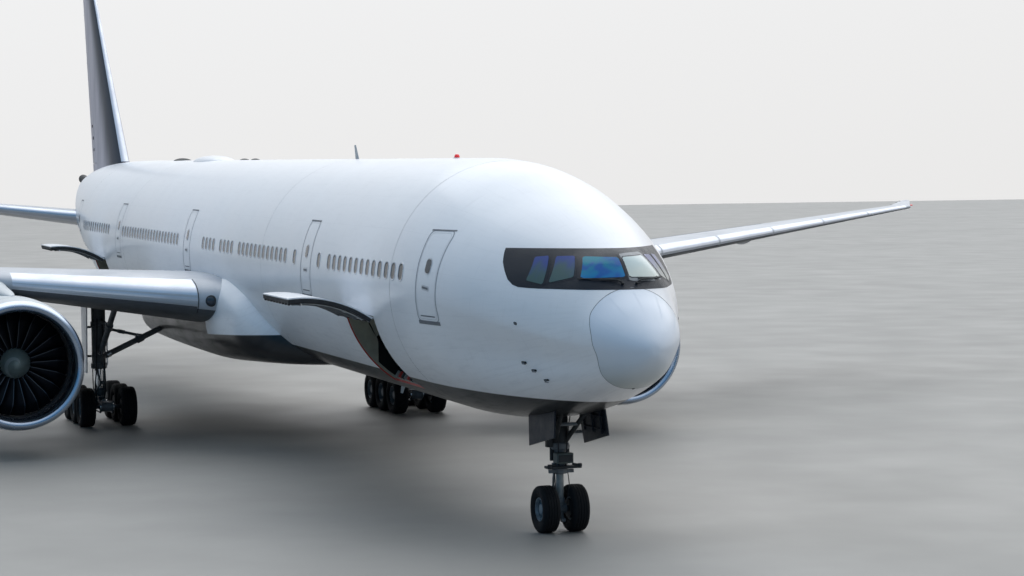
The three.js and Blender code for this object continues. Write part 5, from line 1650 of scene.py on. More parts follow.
SPINNER = ((26.6, 0.0), (26.606, 0.04), (26.63, 0.09), (26.68, 0.145), (26.77, 0.22), (26.88, 0.295),
           (27.0, 0.36), (27.12, 0.42), (27.27, 0.475), (27.42, 0.515), (27.6, 0.54), (27.74, 0.545))
SPINNER_STATION = Curve([row[1] for row in SPINNER], [row[0] for row in SPINNER])


def fan(label, side, centre):
    form = Form()
    blade = fan_blade()
    shift = Vector((0, side * ENGINE_Y * SCALE, ENGINE_Z * SCALE))
    for angle in full_turn(FAN_BLADES):
        turn = Matrix.Rotation(angle, 4, "X")
        copy = Form()
        copy.points = [turn @ point + shift for point in blade.points]
        copy.faces, copy.kinds = blade.faces, blade.kinds
        form.add(copy)
    piece(f"fan_blades_{label}", form, "fan_" + label, [FAN_DARK, FAN_EDGE], ["fan_" + label],
          sharp=45, outward=False)
    spinner = Form()
    spinner.turned(SPINNER, centre, AFT, 64, 0)
    # A swirl that widens and narrows again on its way out.
    inner, outer = [], []
    for t in spread(0, 1, 30):
        radius = lerp(0.06, 0.42, t)
        turn = math.pi * (1.25 * t + 0.2)
        half = 0.045 * math.sin(math.pi * t) ** 0.6 + 0.004
        for edge, way in ((inner, -half), (outer, half)):
            size = clamp(radius + way, 0.01, 0.5)
            outward = (ACROSS * math.cos(turn) + UP * math.sin(turn)) * ((size + 0.003) * SCALE)
            edge.append(centre + AFT * ((SPINNER_STATION(size) - 0.004) * SCALE) + outward)
    spinner.grid([inner, outer], 1)
    piece(f"fan_spinner_{label}", spinner, "fan_" + label, [SPINNER_GREY, SWIRL], sharp=50)


# Columns: station, half width, low and high height above the engine's axis.
PYLON = ((27.6, 0.05, 1.85, 2.02), (28.6, 0.2, 1.8, 2.12), (30.5, 0.27, 1.8, 2.24), (31.4, 0.27, 1.78, 2.36),
         (32.6, 0.27, 1.75, 2.6), (34.5, 0.24, 1.45, 2.6), (37.2, 0.05, 1.95, 2.3))
PYLON_CURVES = columns(PYLON, 1, 2, 3)


def pylon():
    form = Form()
    rings = []
    for s in spread(PYLON[0][0], PYLON[-1][0], 40):
        half, low, high = [curve(s) for curve in PYLON_CURVES]
        ring = [(-half, low), (half, low)]
        for turn in spread(0, math.pi, 12):
            ring.append((half * math.cos(turn), high - half * 0.6 + half * 0.6 * math.sin(turn)))
        rings.append([place(s, ENGINE_Y + y, ENGINE_Z + z) for y, z in ring])
    form.loft(rings)
    return form


def engines():
    hung = pylon()
    for label, side in SIDES:
        centre = place(0, side * ENGINE_Y, ENGINE_Z)
        nacelle(label, centre)
        fan(label, side, centre)
        piece("pylon_skin_" + label, hung.on_side(side), "airframe", [COWL_WHITE],
              ["pylon_" + label], sharp=40)


# Landing gear

NOSE_S = 5.89
NOSE_RADIUS, NOSE_WIDTH, NOSE_Y = 0.546, 0.42, 0.36
MAIN_S, MAIN_Y = 37.11, 5.485
MAIN_RADIUS, MAIN_WIDTH, MAIN_WHEEL_Y, AXLE_PITCH = 0.66, 0.52, 0.699, 1.46
AFT_PIVOT = MAIN_S + 0.92
PIVOT_Z = MAIN_RADIUS + 0.24
STEER_Z = 1.5
# One tyre's section. Columns: distance out from its middle in half widths, radius in tyre radii.
TYRE_SECTION = (
    (-0.62, 0.50), (-0.8, 0.56), (-0.93, 0.66), (-0.985, 0.76), (-0.97, 0.85), (-0.9, 0.925), (-0.78, 0.972),
    (-0.62, 0.992), (-0.5, 0.997), (-0.49, 0.972), (-0.43, 0.972), (-0.42, 1.0), (-0.2, 1.0), (-0.19, 0.972),
    (-0.13, 0.972), (-0.12, 1.0), (0.12, 1.0), (0.13, 0.972), (0.19, 0.972), (0.2, 1.0), (0.42, 1.0),
    (0.43, 0.972), (0.49, 0.972), (0.5, 0.997), (0.62, 0.992), (0.78, 0.972), (0.9, 0.925), (0.97, 0.85),
    (0.985, 0.76), (0.93, 0.66), (0.8, 0.56), (0.62, 0.50),
)
# The wheel inside it, from the outer rim in to the axle's end.
HUB_SECTION = ((0.62, 0.505), (0.74, 0.50), (0.74, 0.47), (0.62, 0.455), (0.45, 0.43), (0.30, 0.40),
               (0.26, 0.34), (0.26, 0.28), (0.34, 0.235), (0.50, 0.22), (0.58, 0.20), (0.60, 0.16),
               (0.60, 0.0))
HUB_INSIDE = ((-0.62, 0.505), (-0.62, 0.44), (-0.5, 0.40), (-0.2, 0.36), (-0.2, 0.13))
# Columns: outline, sides, material.
WHEEL_PARTS = ((TYRE_SECTION, 56, 0), (HUB_SECTION[:5], 48, 1), (HUB_SECTION[4:9], 48, 2),
               (HUB_SECTION[8:], 32, 1), (HUB_INSIDE, 32, 2))
# Studs on a wheel. Columns: how many, turn of the first, distance from the axle in tyre radii, both ends
# in half widths, radius.
WHEEL_STUDS = ((12, 0.0, 0.375, (0.27, 0.42), 0.016), (3, math.pi / 6, 0.44, (0.4, 0.7), 0.012))


def wheel(form, s, y, radius, width, out):
    """A tyre on its rim, facing out along y. Kinds: tyre, rim, recess in painted shade, bright metal."""
    centre = place(s, y, radius)
    axis = Vector((0, out, 0))
    half = width / 2
    for outline, sides, kind in WHEEL_PARTS:
        form.turned([(across * half, r * radius) for across, r in outline], centre, axis, sides, kind)
    for count, first, distance, ends, size in WHEEL_STUDS:
        for turn in full_turn(count):
            outward = Vector((math.cos(turn + first), 0, math.sin(turn + first)))
            spot = centre + outward * (distance * radius * SCALE)
            form.tube([spot + axis * (end * half * SCALE) for end in ends], size, 6, 3)


def wheel_pair(name, s, y, radius, width, wheel_y):
    """Two wheels on their axle, with a brake drum inside each."""
    form = Form()
    form.rod((s, y - wheel_y, radius), (s, y + wheel_y, radius), 0.07, 24, 4)
    for out in (-1, 1):
        wheel(form, s, y + out * wheel_y, radius, width, out)
        near, far = (y + out * (wheel_y - share * width) for share in (0.3, 0.42))
        form.rod((s, near, radius), (s, far, radius), 0.4 * radius, 32, 4)
    piece(name + "_tyres", form, name, [RUBBER, HUB_BLUE, HUB_RECESS_SHADE, BARE_METAL, GEAR_DARK], [name],
          sharp=30)


def bars(form, station, y, out, table):
    """Straight bars from a leg's station and y, mirrored across it where out is -1.

    The table's columns: both ends as (distance aft, distance across, height), radius, sides, material.
    """
    for (s0, y0, z0), (s1, y1, z1), radius, sides, kind in table:
        form.rod((station + s0, y + out * y0, z0), (station + s1, y + out * y1, z1), radius, sides, kind)


def hose(form, station, y, out, points, radius, kind):
    """A hose on a smooth curve through a few points, which are given as a bar's ends are."""
    points = [(station + s, y + out * across, z) for s, across, z in points]
    curves = [Curve(range(len(points)), [p[k] for p in points]) for k in range(3)]
    last = len(points) - 1
    form.tube([place(*[curve(t) for curve in curves]) for t in spread(0, last, 6 * last)], radius, 8, kind)


def collar(form, station, y, low, high, radius):
    """A bush round an upright strut, with rounded edges."""
    edge = (high - low) * 0.15
    form.tube([place(station, y, z) for z in (low, low + edge, high - edge, high)],
              [radius * 0.9, radius, radius, radius * 0.9], 28)


def forked_link(form, start, end, width, thick):
    """A torque link: a flat tapering fork with an eye at each end."""
    a, b = place(*start), place(*end)
    up = (b - a).normalized().cross(ACROSS).normalized()
    half = thick * SCALE
    for out in (-1, 1):
        rings = []
        for t, share in ((0.0, 1.0), (0.5, 0.7), (1.0, 0.35)):
            centre = a.lerp(b, t) + ACROSS * (out * width * share * SCALE)
            rings.append([centre + ACROSS * (u * half * 0.6) + up * (v * half)
                          for u, v in ((-1, -1), (1, -1), (1, 1), (-1, 1))])
        form.loft(rings)
    for eye, reach_out, radius in ((a, width * 1.25, thick * 1.5), (b, width * 0.6, thick * 1.4)):
        form.tube([eye - ACROSS * reach_out * SCALE, eye + ACROSS * reach_out * SCALE], radius, 14)


NOSE_TOP = datum(NOSE_S) - 2.66
# Bars on the nose leg's middle line, then those that it has on both sides.
NOSE_STRUT = (
    ((0, 0, STEER_Z + 0.02), (0, 0, NOSE_TOP), 0.15, 32, 0),
    ((0, 0, 2.0), (0, 0, NOSE_TOP), 0.2, 32, 1),
    ((-0.62, -0.24, 2.55), (-0.62, 0.24, 2.55), 0.04, 16, 0),
    ((0, -0.56, 2.3), (0, 0.56, 2.3), 0.035, 16, 0),
)
NOSE_PAIRS = (
    ((0, 0.12, 2.05), (-1.2, 0.34, 3.05), 0.055, 16, 1),
    ((0, 0.19, STEER_Z + 0.16), (0, 0.19, STEER_Z + 0.46), 0.05, 16, 1),
    ((0, 0.19, STEER_Z + 0.46), (0, 0.19, STEER_Z + 0.5), 0.06, 16, 0),
    ((-0.3, 0.2, 1.6), (-0.34, 0.42, 1.555), 0.028, 12, 1),
    ((-0.34, 0.37, 1.52), (-0.34, 0.37, 1.61), 0.045, 12, 1),
)


def nose_leg():
    """Fixed part of the nose gear: cylinder, drag brace, cross shaft, steering motors, a box and hoses."""
    form = Form()
    # Bars and boxes of kind 1 (the upper cylinder, drag braces and steering parts) are near black: painted
    # shade on grey gear.
    bars(form, NOSE_S, 0, 1, NOSE_STRUT)
    collar(form, NOSE_S, 0, STEER_Z + 0.01, STEER_Z + 0.1, 0.185)
    collar(form, NOSE_S, 0, 1.92, 2.08, 0.225)
    form.box((NOSE_S - 0.4, -0.2, 1.62), (NOSE_S - 0.1, 0.2, 1.86), 3, 0.02)
    form.box((NOSE_S - 0.42, -0.17, 1.66), (NOSE_S - 0.4, 0.17, 1.82), 1, 0.008)
    form.box((NOSE_S - 0.36, -0.41, 1.5), (NOSE_S - 0.08, 0.41, 1.56), 1, 0.012)
    form.box((NOSE_S - 0.12, -0.34, 1.98), (NOSE_S + 0.04, -0.2, 2.2), 1, 0.012)
    for out in (-1, 1):
        bars(form, NOSE_S, 0, out, NOSE_PAIRS)
        hose(form, NOSE_S, 0, out,
             ((-0.17, 0.08, 1.55), (-0.2, 0.1, 1.9), (-0.24, 0.12, 2.3), (-0.2, 0.2, 2.75)), 0.013, 2)
        hose(form, NOSE_S, 0, out,
             ((0.17, 0.06, 1.52), (0.2, 0.07, 1.85), (0.24, 0.1, 2.2), (0.2, 0.14, 2.72)), 0.016, 2)
    piece("nose_leg_strut", form, "airframe", [GEAR_GREY, GEAR_DARK, SEAL, GEAR_GREEN],
          ["nose_leg"], sharp=35)


def nose_fork():
    """Steered part of the nose gear: collar, piston, torque links, axle housing, towing lug and hoses."""
    form = Form()
    collar(form, NOSE_S, 0, STEER_Z - 0.14, STEER_Z - 0.005, 0.19)
    collar(form, NOSE_S, 0, NOSE_RADIUS + 0.1, NOSE_RADIUS + 0.26, 0.115)
    bars(form, NOSE_S, 0, 1, (
        ((0, 0, STEER_Z - 0.1), (0, 0, NOSE_RADIUS), 0.09, 32, 1),
        ((0, -0.13, NOSE_RADIUS), (0, 0.13, NOSE_RADIUS), 0.12, 28, 0),
        ((-0.19, -0.05, 0.3), (-0.19, 0.05, 0.3), 0.045, 16, 0),
    ))
    form.box((NOSE_S - 0.14, -0.3, STEER_Z - 0.12), (NOSE_S - 0.04, 0.3, STEER_Z - 0.04), 0, 0.01)
    knee = (NOSE_S + 0.36, 0, 1.0)
    forked_link(form, (NOSE_S + 0.1, 0, STEER_Z - 0.07), knee, 0.1, 0.032)
    forked_link(form, (NOSE_S + 0.06, 0, NOSE_RADIUS + 0.1), knee, 0.1, 0.032)
    lug = ((0, NOSE_RADIUS - 0.05), (-0.16, 0.32), (-0.2, 0.29))
    form.tube([place(NOSE_S + s, 0, z) for s, z in lug], [0.06, 0.045, 0.03], 14, 0)
    for out in (-1, 1):
        hose(form, NOSE_S, 0, out, ((-0.1, 0.16, STEER_Z - 0.1), (-0.16, 0.17, 1.1), (-0.12, 0.15, 0.8),
                                    (-0.05, 0.14, 0.62)), 0.012, 2)
    piece("nose_fork_parts", form, "nose_fork", [GEAR_GREY, GEAR_PALE, SEAL], ["nose_fork"],
          sharp=35)


# A nose door's head and foot. Columns: forward and aft station.
NOSE_DOOR_HEAD, NOSE_DOOR_FOOT = (4.5, 6.2), (4.42, 6.02)
# Heights of the foot at its forward and its aft end, and of the head.
NOSE_DOOR_FOOT_Z, NOSE_DOOR_TOP_Z = (2.34, 2.02), 3.2
NOSE_DOOR_TOP_Y, NOSE_DOOR_BOTTOM_Y, NOSE_DOOR_THICKNESS = 0.56, 0.66, 0.035


def nose_doors():
    """Black doors at the edges of the nose wheel bay, each with stiffeners on its inner face."""
    form = Form()

    def spot(s, z, out):
        down = (NOSE_DOOR_TOP_Z - z) / (NOSE_DOOR_TOP_Z - NOSE_DOOR_FOOT_Z[1])
        return place(s, lerp(NOSE_DOOR_TOP_Y, NOSE_DOOR_BOTTOM_Y, down) + out, z)

    rows = []
    for t in spread(0, 1, 12):
        head, foot, foot_z = (lerp(*ends, t) for ends in (NOSE_DOOR_HEAD, NOSE_DOOR_FOOT, NOSE_DOOR_FOOT_Z))
        head_z = min(datum(head) + section(head)[2] * 0.985 + 0.03, 3.12)
        line = [(lerp(head, foot, u), lerp(head_z, foot_z, u)) for u in spread(0, 1, 6)]
        inner = [spot(s, z, 0) for s, z in line[::-1]]
        rows.append([spot(s, z, NOSE_DOOR_THICKNESS) for s, z in line] + inner)
    form.loft(rows)
    for s in (4.75, 5.3, 5.85):
        form.tube([spot(s, 2.95, -0.03), spot(s, 2.35, -0.02)], 0.02, 8)
    for z in (2.45, 2.75):
        form.tube([spot(4.6, z, -0.02), spot(6.0, z, -0.02)], 0.018, 8)
    sided(("nose_door", form, "airframe", "black_paint", [MASK_BLACK], "nose_gear_door_*", 35))


# A main leg's bars, then its braces. The braces' columns: end as (distance aft, y, height), start's
# height, radius.
MAIN_STRUT = (
    ((0, 0, 1.9), (0, 0, 4.6), 0.24, 36, 0),
    ((0, 0, PIVOT_Z + 0.1), (0, 0, 1.9), 0.165, 36, 1),
    ((0, -0.2, PIVOT_Z + 0.14), (0, 0.2, PIVOT_Z + 0.14), 0.13, 28, 0),
    ((0.05, -0.3, 1.95), (0.05, -0.3, 3.4), 0.03, 12, 2),
)
MAIN_BRACES = (
    ((-2.6, MAIN_Y - 0.3, 4.5), 2.2, 0.1),
    ((0.2, 2.6, 3.5), 2.2, 0.1),
    ((-1.35, MAIN_Y - 0.15, 3.44), 3.5, 0.05),
    ((0.1, 3.9, 2.92), 3.3, 0.05),
)


def main_leg():
    """Shock strut with its braces, torque links and hoses."""
    form = Form()
    bars(form, MAIN_S, MAIN_Y, 1, MAIN_STRUT)
    collar(form, MAIN_S, MAIN_Y, 1.86, 2.06, 0.275)
    collar(form, MAIN_S, MAIN_Y, 3.3, 3.5, 0.27)
    collar(form, MAIN_S, MAIN_Y, PIVOT_Z + 0.02, PIVOT_Z + 0.3, 0.19)
    for (aft, y, z), start_z, radius in MAIN_BRACES:
        a, b = place(MAIN_S, MAIN_Y, start_z), place(MAIN_S + aft, y, z)
        form.tube([a, b], radius, 24)
        along = (b - a).normalized() * (0.12 * SCALE)
        for t, size, half, kind in ((0.5, 1.35, 1.0, 0), (0.12, 1.2, 0.6, 2), (0.88, 1.2, 0.6, 2)):
            spot = a.lerp(b, t)
            form.tube([spot - along * half, spot + along * half], radius * size, 24, kind)
    knee = (MAIN_S - 0.62, MAIN_Y, 1.42)
    forked_link(form, (MAIN_S - 0.12, MAIN_Y, 2.05), knee, 0.16, 0.045)
    forked_link(form, (MAIN_S - 0.1, MAIN_Y, PIVOT_Z + 0.14), knee, 0.16, 0.045)
    for out in (-1, 1):
        hose(form, MAIN_S, MAIN_Y, out, ((-0.26, 0.08, 3.6), (-0.3, 0.12, 2.6), (-0.34, 0.14, 1.9),
                                         (-0.24, 0.18, 1.3), (-0.3, 0.12, 0.86)), 0.02, 3)
        hose(form, MAIN_S, MAIN_Y, out, ((0.24, 0.1, 3.4), (0.3, 0.15, 2.4), (0.36, 0.16, 1.6),
                                         (0.34, 0.14, 0.9)), 0.018, 3)
    return form


# A strut door's section. Columns: fraction of its length, distance out from its inner face.
STRUT_DOOR_SECTION = ((0, 0), (0, 0.04), (0.25, 0.052), (0.5, 0.056), (0.75, 0.052), (1, 0.04), (1, 0))
STRUT_DOOR_Y, STRUT_DOOR_LOW, STRUT_DOOR_TOP = MAIN_Y + 0.46, 1.75, 4.4


def strut_door():
    """The curved door on the outside of a main leg, with its rods."""
    form = Form()
    rows = []
    for t in spread(0, 1, 8):
        z, half = min(lerp(STRUT_DOOR_LOW, STRUT_DOOR_TOP, t), 4.36), lerp(0.42, 0.62, t)
        rows.append([place(MAIN_S - half + 2 * half * u, STRUT_DOOR_Y + out, z)
                     for u, out in STRUT_DOOR_SECTION])
    form.loft(rows)
    for z in (2.3, 3.3):
        form.rod((MAIN_S, MAIN_Y + 0.25, z), (MAIN_S, STRUT_DOOR_Y + 0.01, z), 0.04, 14, 1)
        form.rod((MAIN_S + 0.3, STRUT_DOOR_Y - 0.01, z), (MAIN_S - 0.3, STRUT_DOOR_Y - 0.01, z), 0.03, 10, 1)
    return form


def bogie():
    """The truck beam with its axle bosses, brake rods, pivot and clevis."""
    form = Form()
    y, z = MAIN_Y, MAIN_RADIUS
    front_axle = MAIN_S - AXLE_PITCH
    form.box((front_axle - 0.15, y - 0.13, z - 0.14), (AFT_PIVOT - 0.2, y + 0.13, z + 0.14), 0, 0.035)
    form.box((AFT_PIVOT - 0.4, y - 0.14, z - 0.2), (AFT_PIVOT - 0.2, y + 0.14, z + 0.2), 0, 0.02)
    for s in (-AXLE_PITCH, 0):
        bars(form, MAIN_S, y, 1, (((s, -0.2, z), (s, 0.2, z), 0.17, 28, 0),
                                  ((s, -0.24, z), (s, 0.24, z), 0.12, 28, 2)))
    bars(form, MAIN_S, y, 1, (((0, 0, z + 0.1), (0, 0, PIVOT_Z), 0.18, 28, 0),
                              ((-0.3, 0, z + 0.16), (-0.8, 0, z + 0.16), 0.05, 14, 3)))
    first, last = 0.1 - AXLE_PITCH, 0.1
    for out in (-1, 1):
        bars(form, MAIN_S, y, out, (
            ((first, 0.2, z - 0.2), (0.5, 0.2, z - 0.2), 0.028, 12, 2),
            ((first, 0.2, z - 0.22), (first, 0.2, z - 0.02), 0.03, 10, 0),
            ((last, 0.2, z - 0.22), (last, 0.2, z - 0.02), 0.03, 10, 0),
        ))
        form.box((AFT_PIVOT - 0.4, y - 0.14, z + out * 0.171), (AFT_PIVOT + 0.12, y + 0.14, z + out * 0.21),
                 0, 0.012)
    hose(form, MAIN_S, y, 1, ((-0.2, 0.1, z + 0.3), (-0.6, 0.16, z + 0.26), (0.2 - AXLE_PITCH, 0.2, z + 0.18),
                              (-AXLE_PITCH, 0.24, z + 0.1)), 0.018, 1)
    return form


def aft_beam():
    """The steered beam behind the bogie, with its pin and the boss of the rear axle."""
    form = Form()
    y, z = MAIN_Y, MAIN_RADIUS
    rear = MAIN_S + AXLE_PITCH
    form.rod((AFT_PIVOT, y, z - 0.168), (AFT_PIVOT, y, z + 0.168), 0.14, 28)
    form.box((AFT_PIVOT, y - 0.1, z - 0.12), (rear + 0.14, y + 0.1, z + 0.12), 0, 0.03)
    form.rod((rear, y - 0.2, z), (rear, y + 0.2, z), 0.17, 28)
    return form


def landing_gear():
    nose_leg()
    nose_fork()
    nose_doors()
    wheel_pair("nose_wheels", NOSE_S, 0, NOSE_RADIUS, NOSE_WIDTH, NOSE_Y)
    bogie_metals = [GEAR_GREY, SEAL, BARE_METAL, CHROME]
    leg_metals = [GEAR_GREY, CHROME, BARE_METAL, SEAL]
    sided(
        ("main_leg_strut", main_leg(), "airframe", "gear_steel", leg_metals, "main_leg_*", 35),
        ("main_strut_door", strut_door(), "airframe", "white_paint", [WHITE_PLAIN, GEAR_GREY],
         "strut_door_*", 35),
        ("truck_beam", bogie(), "airframe", "gear_steel", bogie_metals, "bogie_beam_*", 35),
        ("aft_beam", aft_beam(), "aft_axle_*", "gear_steel", [GEAR_GREY], "aft_axle_beam_*", 35),
    )
    for label, side in SIDES:
        for step, name in ((-1, "front"), (0, "middle"), (1, "rear")):
            wheel_pair(f"{name}_wheels_{label}", MAIN_S + step * AXLE_PITCH, side * MAIN_Y, MAIN_RADIUS,
                       MAIN_WIDTH, MAIN_WHEEL_Y)


# Roof, belly and nose fittings

# Columns: first and last station, half width, height, whether it is painted white.
ROOF_DOMES = (
    (36.1, 37.0, 0.2, 0.05, False),
    (37.7, 38.8, 0.2, 0.05, False),
    (41.0, 45.9, 0.65, 0.17, True),
    (48.2, 50.6, 0.35, 0.09, False),
)
# Columns: root station, root chord, height, 1 for the crown or -1 for the belly.
BLADE_AERIALS = ((22.9, 0.4, 0.42, 1), (18.2, 0.5, 0.36, -1), (48.2, 0.5, 0.36, -1))
# Small probes and ports on the nose. Columns: station, height, length. The last is on the right only.
PROBES = ((3.36, 5.0, 0.10), (3.64, 4.12, 0.16), (3.38, 3.96, 0.16), (3.12, 3.76, 0.16), (1.28, 3.66, 0.05))


def roof_domes():
    form = Form()
    for first, last, half_width, height, white in ROOF_DOMES:
        rings = []
        for turn in spread(0.02, math.pi - 0.02, 24):
            s = lerp(first, last, (1 - math.cos(turn)) / 2)
            swell = math.sin(turn)
            base = datum(s) + RADIUS - 0.1
            rings.append([
                place(s, half_width * swell * math.cos(a), base + (height + 0.1) * swell * math.sin(a))
                for a in spread(0, math.pi, 20)
            ])
        form.loft(rings, 0 if white else 1)
    piece("roof_domes", form, "airframe", [WHITE_PLAIN, GEAR_DARK], sharp=60)


def aerials():
    form = Form()
    for s, chord, height, way in BLADE_AERIALS:
        rings = []
        root = datum(s) + way * (RADIUS - 0.03)
        for t in spread(0, 1, 8):
            size = lerp(1.0, 0.45, t)
            z = root + way * (height + 0.03) * t
            rings.append([
                place(s + chord * (0.9 * t + size * (0.5 - 0.5 * math.cos(a))), 0.022 * size * math.sin(a), z)
                for a in full_turn(20)
            ])
        form.loft(rings)
    piece("blade_aerials", form, "airframe", [LINING_PALE], sharp=50)


BEACON_STATION = 13.4
BEACON_FOOT = ((0, 0.1), (0.03, 0.095), (0.04, 0.075))
BEACON_LENS = ((0.04, 0.075), (0.08, 0.07), (0.12, 0.05), (0.135, 0.0))


def beacon():
    form = Form()
    base = place(BEACON_STATION, 0, datum(BEACON_STATION) + RADIUS - 0.02)
    form.turned(BEACON_FOOT, base, UP, 32, 0)
    form.turned(BEACON_LENS, base, UP, 32, 1)
    piece("beacons", form, "airframe", [FRAME_METAL, LAMP_RED], sharp=50)


# Angles round the radome of its lightning strips.
RADOME_STRIPS = (34, 62, 90, 118, 146, 214, 326)


def nose_fittings():
    """Probes, ports and static plates on the nose, and the radome's lightning strips."""
    for label, side in SIDES:
        form = Form()
        for s, z, length in PROBES[:4] if side > 0 else PROBES:
            angle = skin_angle(s, z, side)
            base = skin(s, angle, -0.004)
            is_probe = length > 0.1
            outline = rounded(0.09 if is_probe else 0.05, 0.035, 0.03)
            form.face([skin(s + dx, angle + dz / 2.2, 0.004) for dx, dz in outline], 1)
            if is_probe:
                path = [base, skin(s - 0.02, angle, 0.07), skin(s - length, angle, 0.10)]
                form.tube(path, [0.02, 0.016, 0.01], 10, 0)
            else:
                form.tube([base, skin(s, angle, 0.012)], 0.03, 12, 0)
        piece(f"nose_probes_{label}", form, "airframe", [GEAR_GREY, GEAR_DARK], sharp=40)
    strips = Form()
    for degrees in RADOME_STRIPS:
        angle = math.radians(degrees)
        stations = [seam_station(angle) * t for t in spread(0.42, 0.94, 14)]
        strips.grid([[skin(s, angle + way, 0.004) for s in stations] for way in (-0.006, 0.006)])
    piece("radome_strips", strips, "airframe", [RADOME_WHITE], sharp=50)


# A landing lamp's rim and lens. Columns: distance ahead of the wing's edge, radius.
LAMP_RIM = ((0.0, 0.18), (0.05, 0.175), (0.065, 0.15))
LAMP_LENS = ((0.03, 0.15), (0.07, 0.13), (0.09, 0.08), (0.095, 0.02))
# The joint inboard of the first slat. Columns: fraction of the chord, -1 under the wing or 1 over it.
ROOT_JOINT = ((0.03, -1), (0.02, -1), (0.01, -1), (0.004, -1), (0.0, 1), (0.004, 1), (0.01, 1), (0.02, 1),
              (0.035, 1), (0.055, 1), (0.08, 1))
# A tip lamp's path. Columns: distance forward, distance outward.
TIP_LAMP = ((-0.1, -0.15), (0.01, 0.0), (-0.12, 0.17))


def wing_lights():
    """Landing lights in the wing roots and position lights at the tips."""
    lights, tip = Form(), Form()
    forward = Vector((1.0, WING_SLOPE, 0.0)).normalized() * SCALE
    along = Vector((-WING_SLOPE, 1.0, 0.0)).normalized() * SCALE
    centre = WING_ROOT.towards(WING_KINK, 0.0755).at(0.004, 0, UP)
    for kind, profile in enumerate((LAMP_RIM, LAMP_LENS)):
        lights.loft([[
            centre + forward * out + along * (math.cos(a) * radius) + UP * (math.sin(a) * radius * SCALE)
            for a in full_turn(32)
        ] for out, radius in profile], kind)
    rows = []
    for t in (0.1195, 0.1225):
        row = WING_ROOT.towards(WING_KINK, t)
        rows.append([row.at(f, way, UP, 0.012) + forward * (0.02 if f < 0.02 else 0.0)
                     for f, way in ROOT_JOINT])
    lights.grid(rows)
    centre = WING_TIP.towards(WING_RAKE, 0.25).at(0.0, 0, UP)
    tip.tube([centre + Vector((x * SCALE, y * SCALE, 0)) for x, y in TIP_LAMP], [0.02, 0.035, 0.02])
    for label, side in SIDES:
        piece(f"landing_lights_{label}", lights.on_side(side), "airframe",
              [GEAR_DARK, LENS_DARK], sharp=50)
        piece(f"tip_light_{label}", tip.on_side(side), "airframe",
              [LAMP_RED if side > 0 else LAMP_GREEN], sharp=50)


# The room

FLOOR_REACH, FLOOR_HEIGHT = 400.0, -0.001
# Columns: name, strength, angle that it fills, colour, direction that it comes from.
LIGHTS = (
    ("overhead_softbox", 1.0, 70, (0.98, 0.99, 1.0), (-0.75, 0.45, 1.0)),
    ("front_softbox", 0.12, 60, (0.88, 0.95, 1.0), (0.75, -0.6, 0.2)),
)


def floor():
    """A wide pale floor with soft clouds in its tone."""
    data = bpy.data.meshes.new("floor")
    corners = [(x * FLOOR_REACH, y * FLOOR_REACH, FLOOR_HEIGHT)
               for x, y in ((-1, -1), (1, -1), (1, 1), (-1, 1))]
    data.from_pydata(corners, [], [(0, 1, 2, 3)])
    n = Nodes("pale_floor")
    at = n.coords()
    cloud = n.remap(n.noise(at, 0.08, 4.0), 0.35, 0.65, 0.0, 1.0)
    n.set(Base_Color=n.mix(cloud, rgb(0.268, 0.258, 0.240), rgb(0.298, 0.288, 0.268)))
    n.set(Roughness=n.remap(n.noise(at, 0.5), 0.3, 0.7, 0.5, 0.65))
    data.materials.append(n.owner)
    made = bpy.data.objects.new("floor", data)
    bpy.context.scene.collection.objects.link(made)


def soft_light():
    """Plain colours, and two wide soft lights."""
    scene = bpy.context.scene
    scene.view_settings.view_transform = "Standard"
    scene.view_settings.exposure = 0.0
    for name, strength, spread_angle, colour, toward in LIGHTS:
        sun = bpy.data.lights.new(name, "SUN")
        sun.energy = strength
        sun.angle = math.radians(spread_angle)
        sun.color = colour
        made = bpy.data.objects.new(name, sun)
        made.rotation_euler = Vector(toward).to_track_quat("Z", "Y").to_euler()
        scene.collection.objects.link(made)


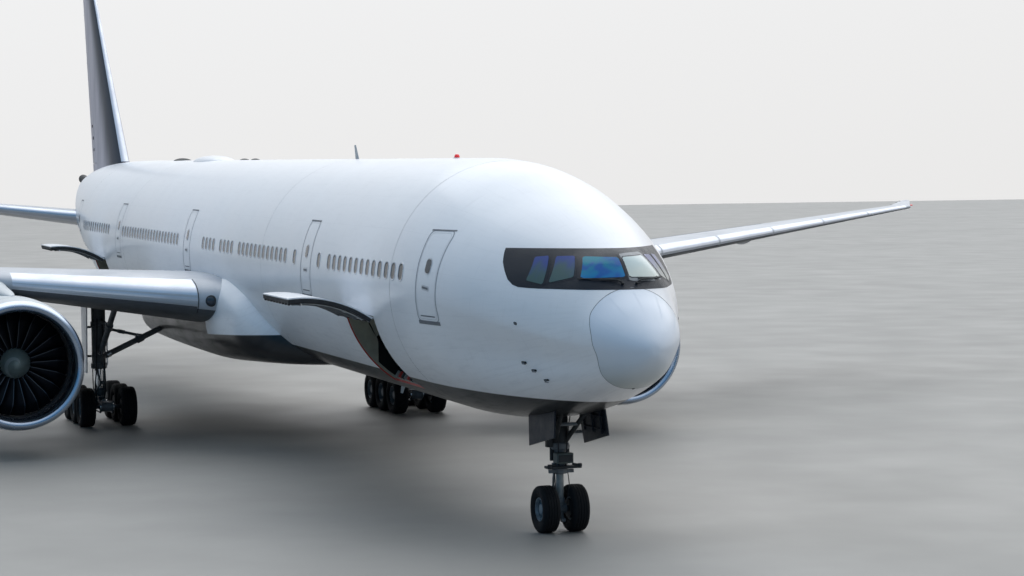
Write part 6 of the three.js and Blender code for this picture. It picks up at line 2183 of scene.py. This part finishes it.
def soft_sky():
    """A pale surround, bright overhead and behind the object and dimmer and bluer on its starboard side."""
    n = Nodes("soft_sky", world=True)
    bpy.context.scene.world = n.owner
    view = n.add("ShaderNodeTexCoord").outputs["Generated"]

    def ramp_along(direction, low, high, dark, light):
        toward = Vector(direction).normalized()
        dot = n.add("ShaderNodeVectorMath", {0: view, 1: toward}, operation="DOT_PRODUCT")
        ramp = n.add("ShaderNodeValToRGB", {0: n.math("MULTIPLY_ADD", dot.outputs["Value"], 0.5, 0.5)})
        ramp.color_ramp.interpolation = "EASE"
        for k, (position, colour) in enumerate(((low, dark), (high, light))):
            ramp.color_ramp.elements[k].position = position
            ramp.color_ramp.elements[k].color = colour
        return ramp.outputs[0]

    side = ramp_along((-0.55, 0.75, 0.25), 0.2, 0.75, rgb(0.015, 0.145, 0.29), rgb(0.80, 0.79, 0.78))
    over = ramp_along((-0.3, 0.0, 1.0), 0.55, 0.95, rgb(0.0, 0.0, 0.0), rgb(0.30, 0.35, 0.41))
    n.set(Color=n.mix(1.0, side, over, "ADD"), Strength=1.0)


CAMERA_PLACE = (41.6915, -9.5386, 3.9957)
CAMERA_YAW, CAMERA_PITCH, CAMERA_ROLL = 161.058, -2.412, -0.647
CAMERA_LENS = 85.27


def camera():
    yaw, pitch, roll = (math.radians(a) for a in (CAMERA_YAW, CAMERA_PITCH, CAMERA_ROLL))
    ahead = Vector((math.cos(pitch) * math.cos(yaw), math.cos(pitch) * math.sin(yaw), math.sin(pitch)))
    right = ahead.cross(UP).normalized()
    up = right.cross(ahead)
    tilted_right = right * math.cos(roll) + up * math.sin(roll)
    tilted_up = up * math.cos(roll) - right * math.sin(roll)
    lens = bpy.data.cameras.new("camera")
    lens.lens = CAMERA_LENS
    lens.sensor_width = 36
    lens.clip_end = 2000
    made = bpy.data.objects.new("camera", lens)
    bpy.context.scene.collection.objects.link(made)
    turn = Matrix((tilted_right, tilted_up, -ahead)).transposed().to_4x4()
    made.matrix_world = Matrix.Translation(CAMERA_PLACE) @ turn
    bpy.context.scene.camera = made


# Everything in its place

camera()
floor()
soft_sky()
soft_light()
radome()
nose_section()
for section_name, start, end, doorway in (
    ("forward_section", NOSE_END, FORWARD_END, CARGO_DOORS[0]),
    ("centre_section", FORWARD_END, CENTRE_END, None),
    ("rear_section", CENTRE_END, REAR_END, CARGO_DOORS[1]),
):
    barrel_piece(section_name, start + SEAM_HALF, end - SEAM_HALF, 0.5, WHITE, doorway)
barrel_piece("tail_section", REAR_END + SEAM_HALF, TAIL_END - SEAM_HALF, 0.4, WHITE_PLAIN)
barrel_piece("tail_cone", TAIL_END + SEAM_HALF, CONE_END, 0.2, ENGINE_METAL)
seams()
cabin_windows()
cabin_doors()
cockpit_mask()
cockpit_glass()
for door in CARGO_DOORS:
    hold(door)
    cargo_door(door)
wing_fairing()
wings()
tail_surfaces()
engines()
landing_gear()
roof_domes()
aerials()
beacon()
nose_fittings()
wing_lights()
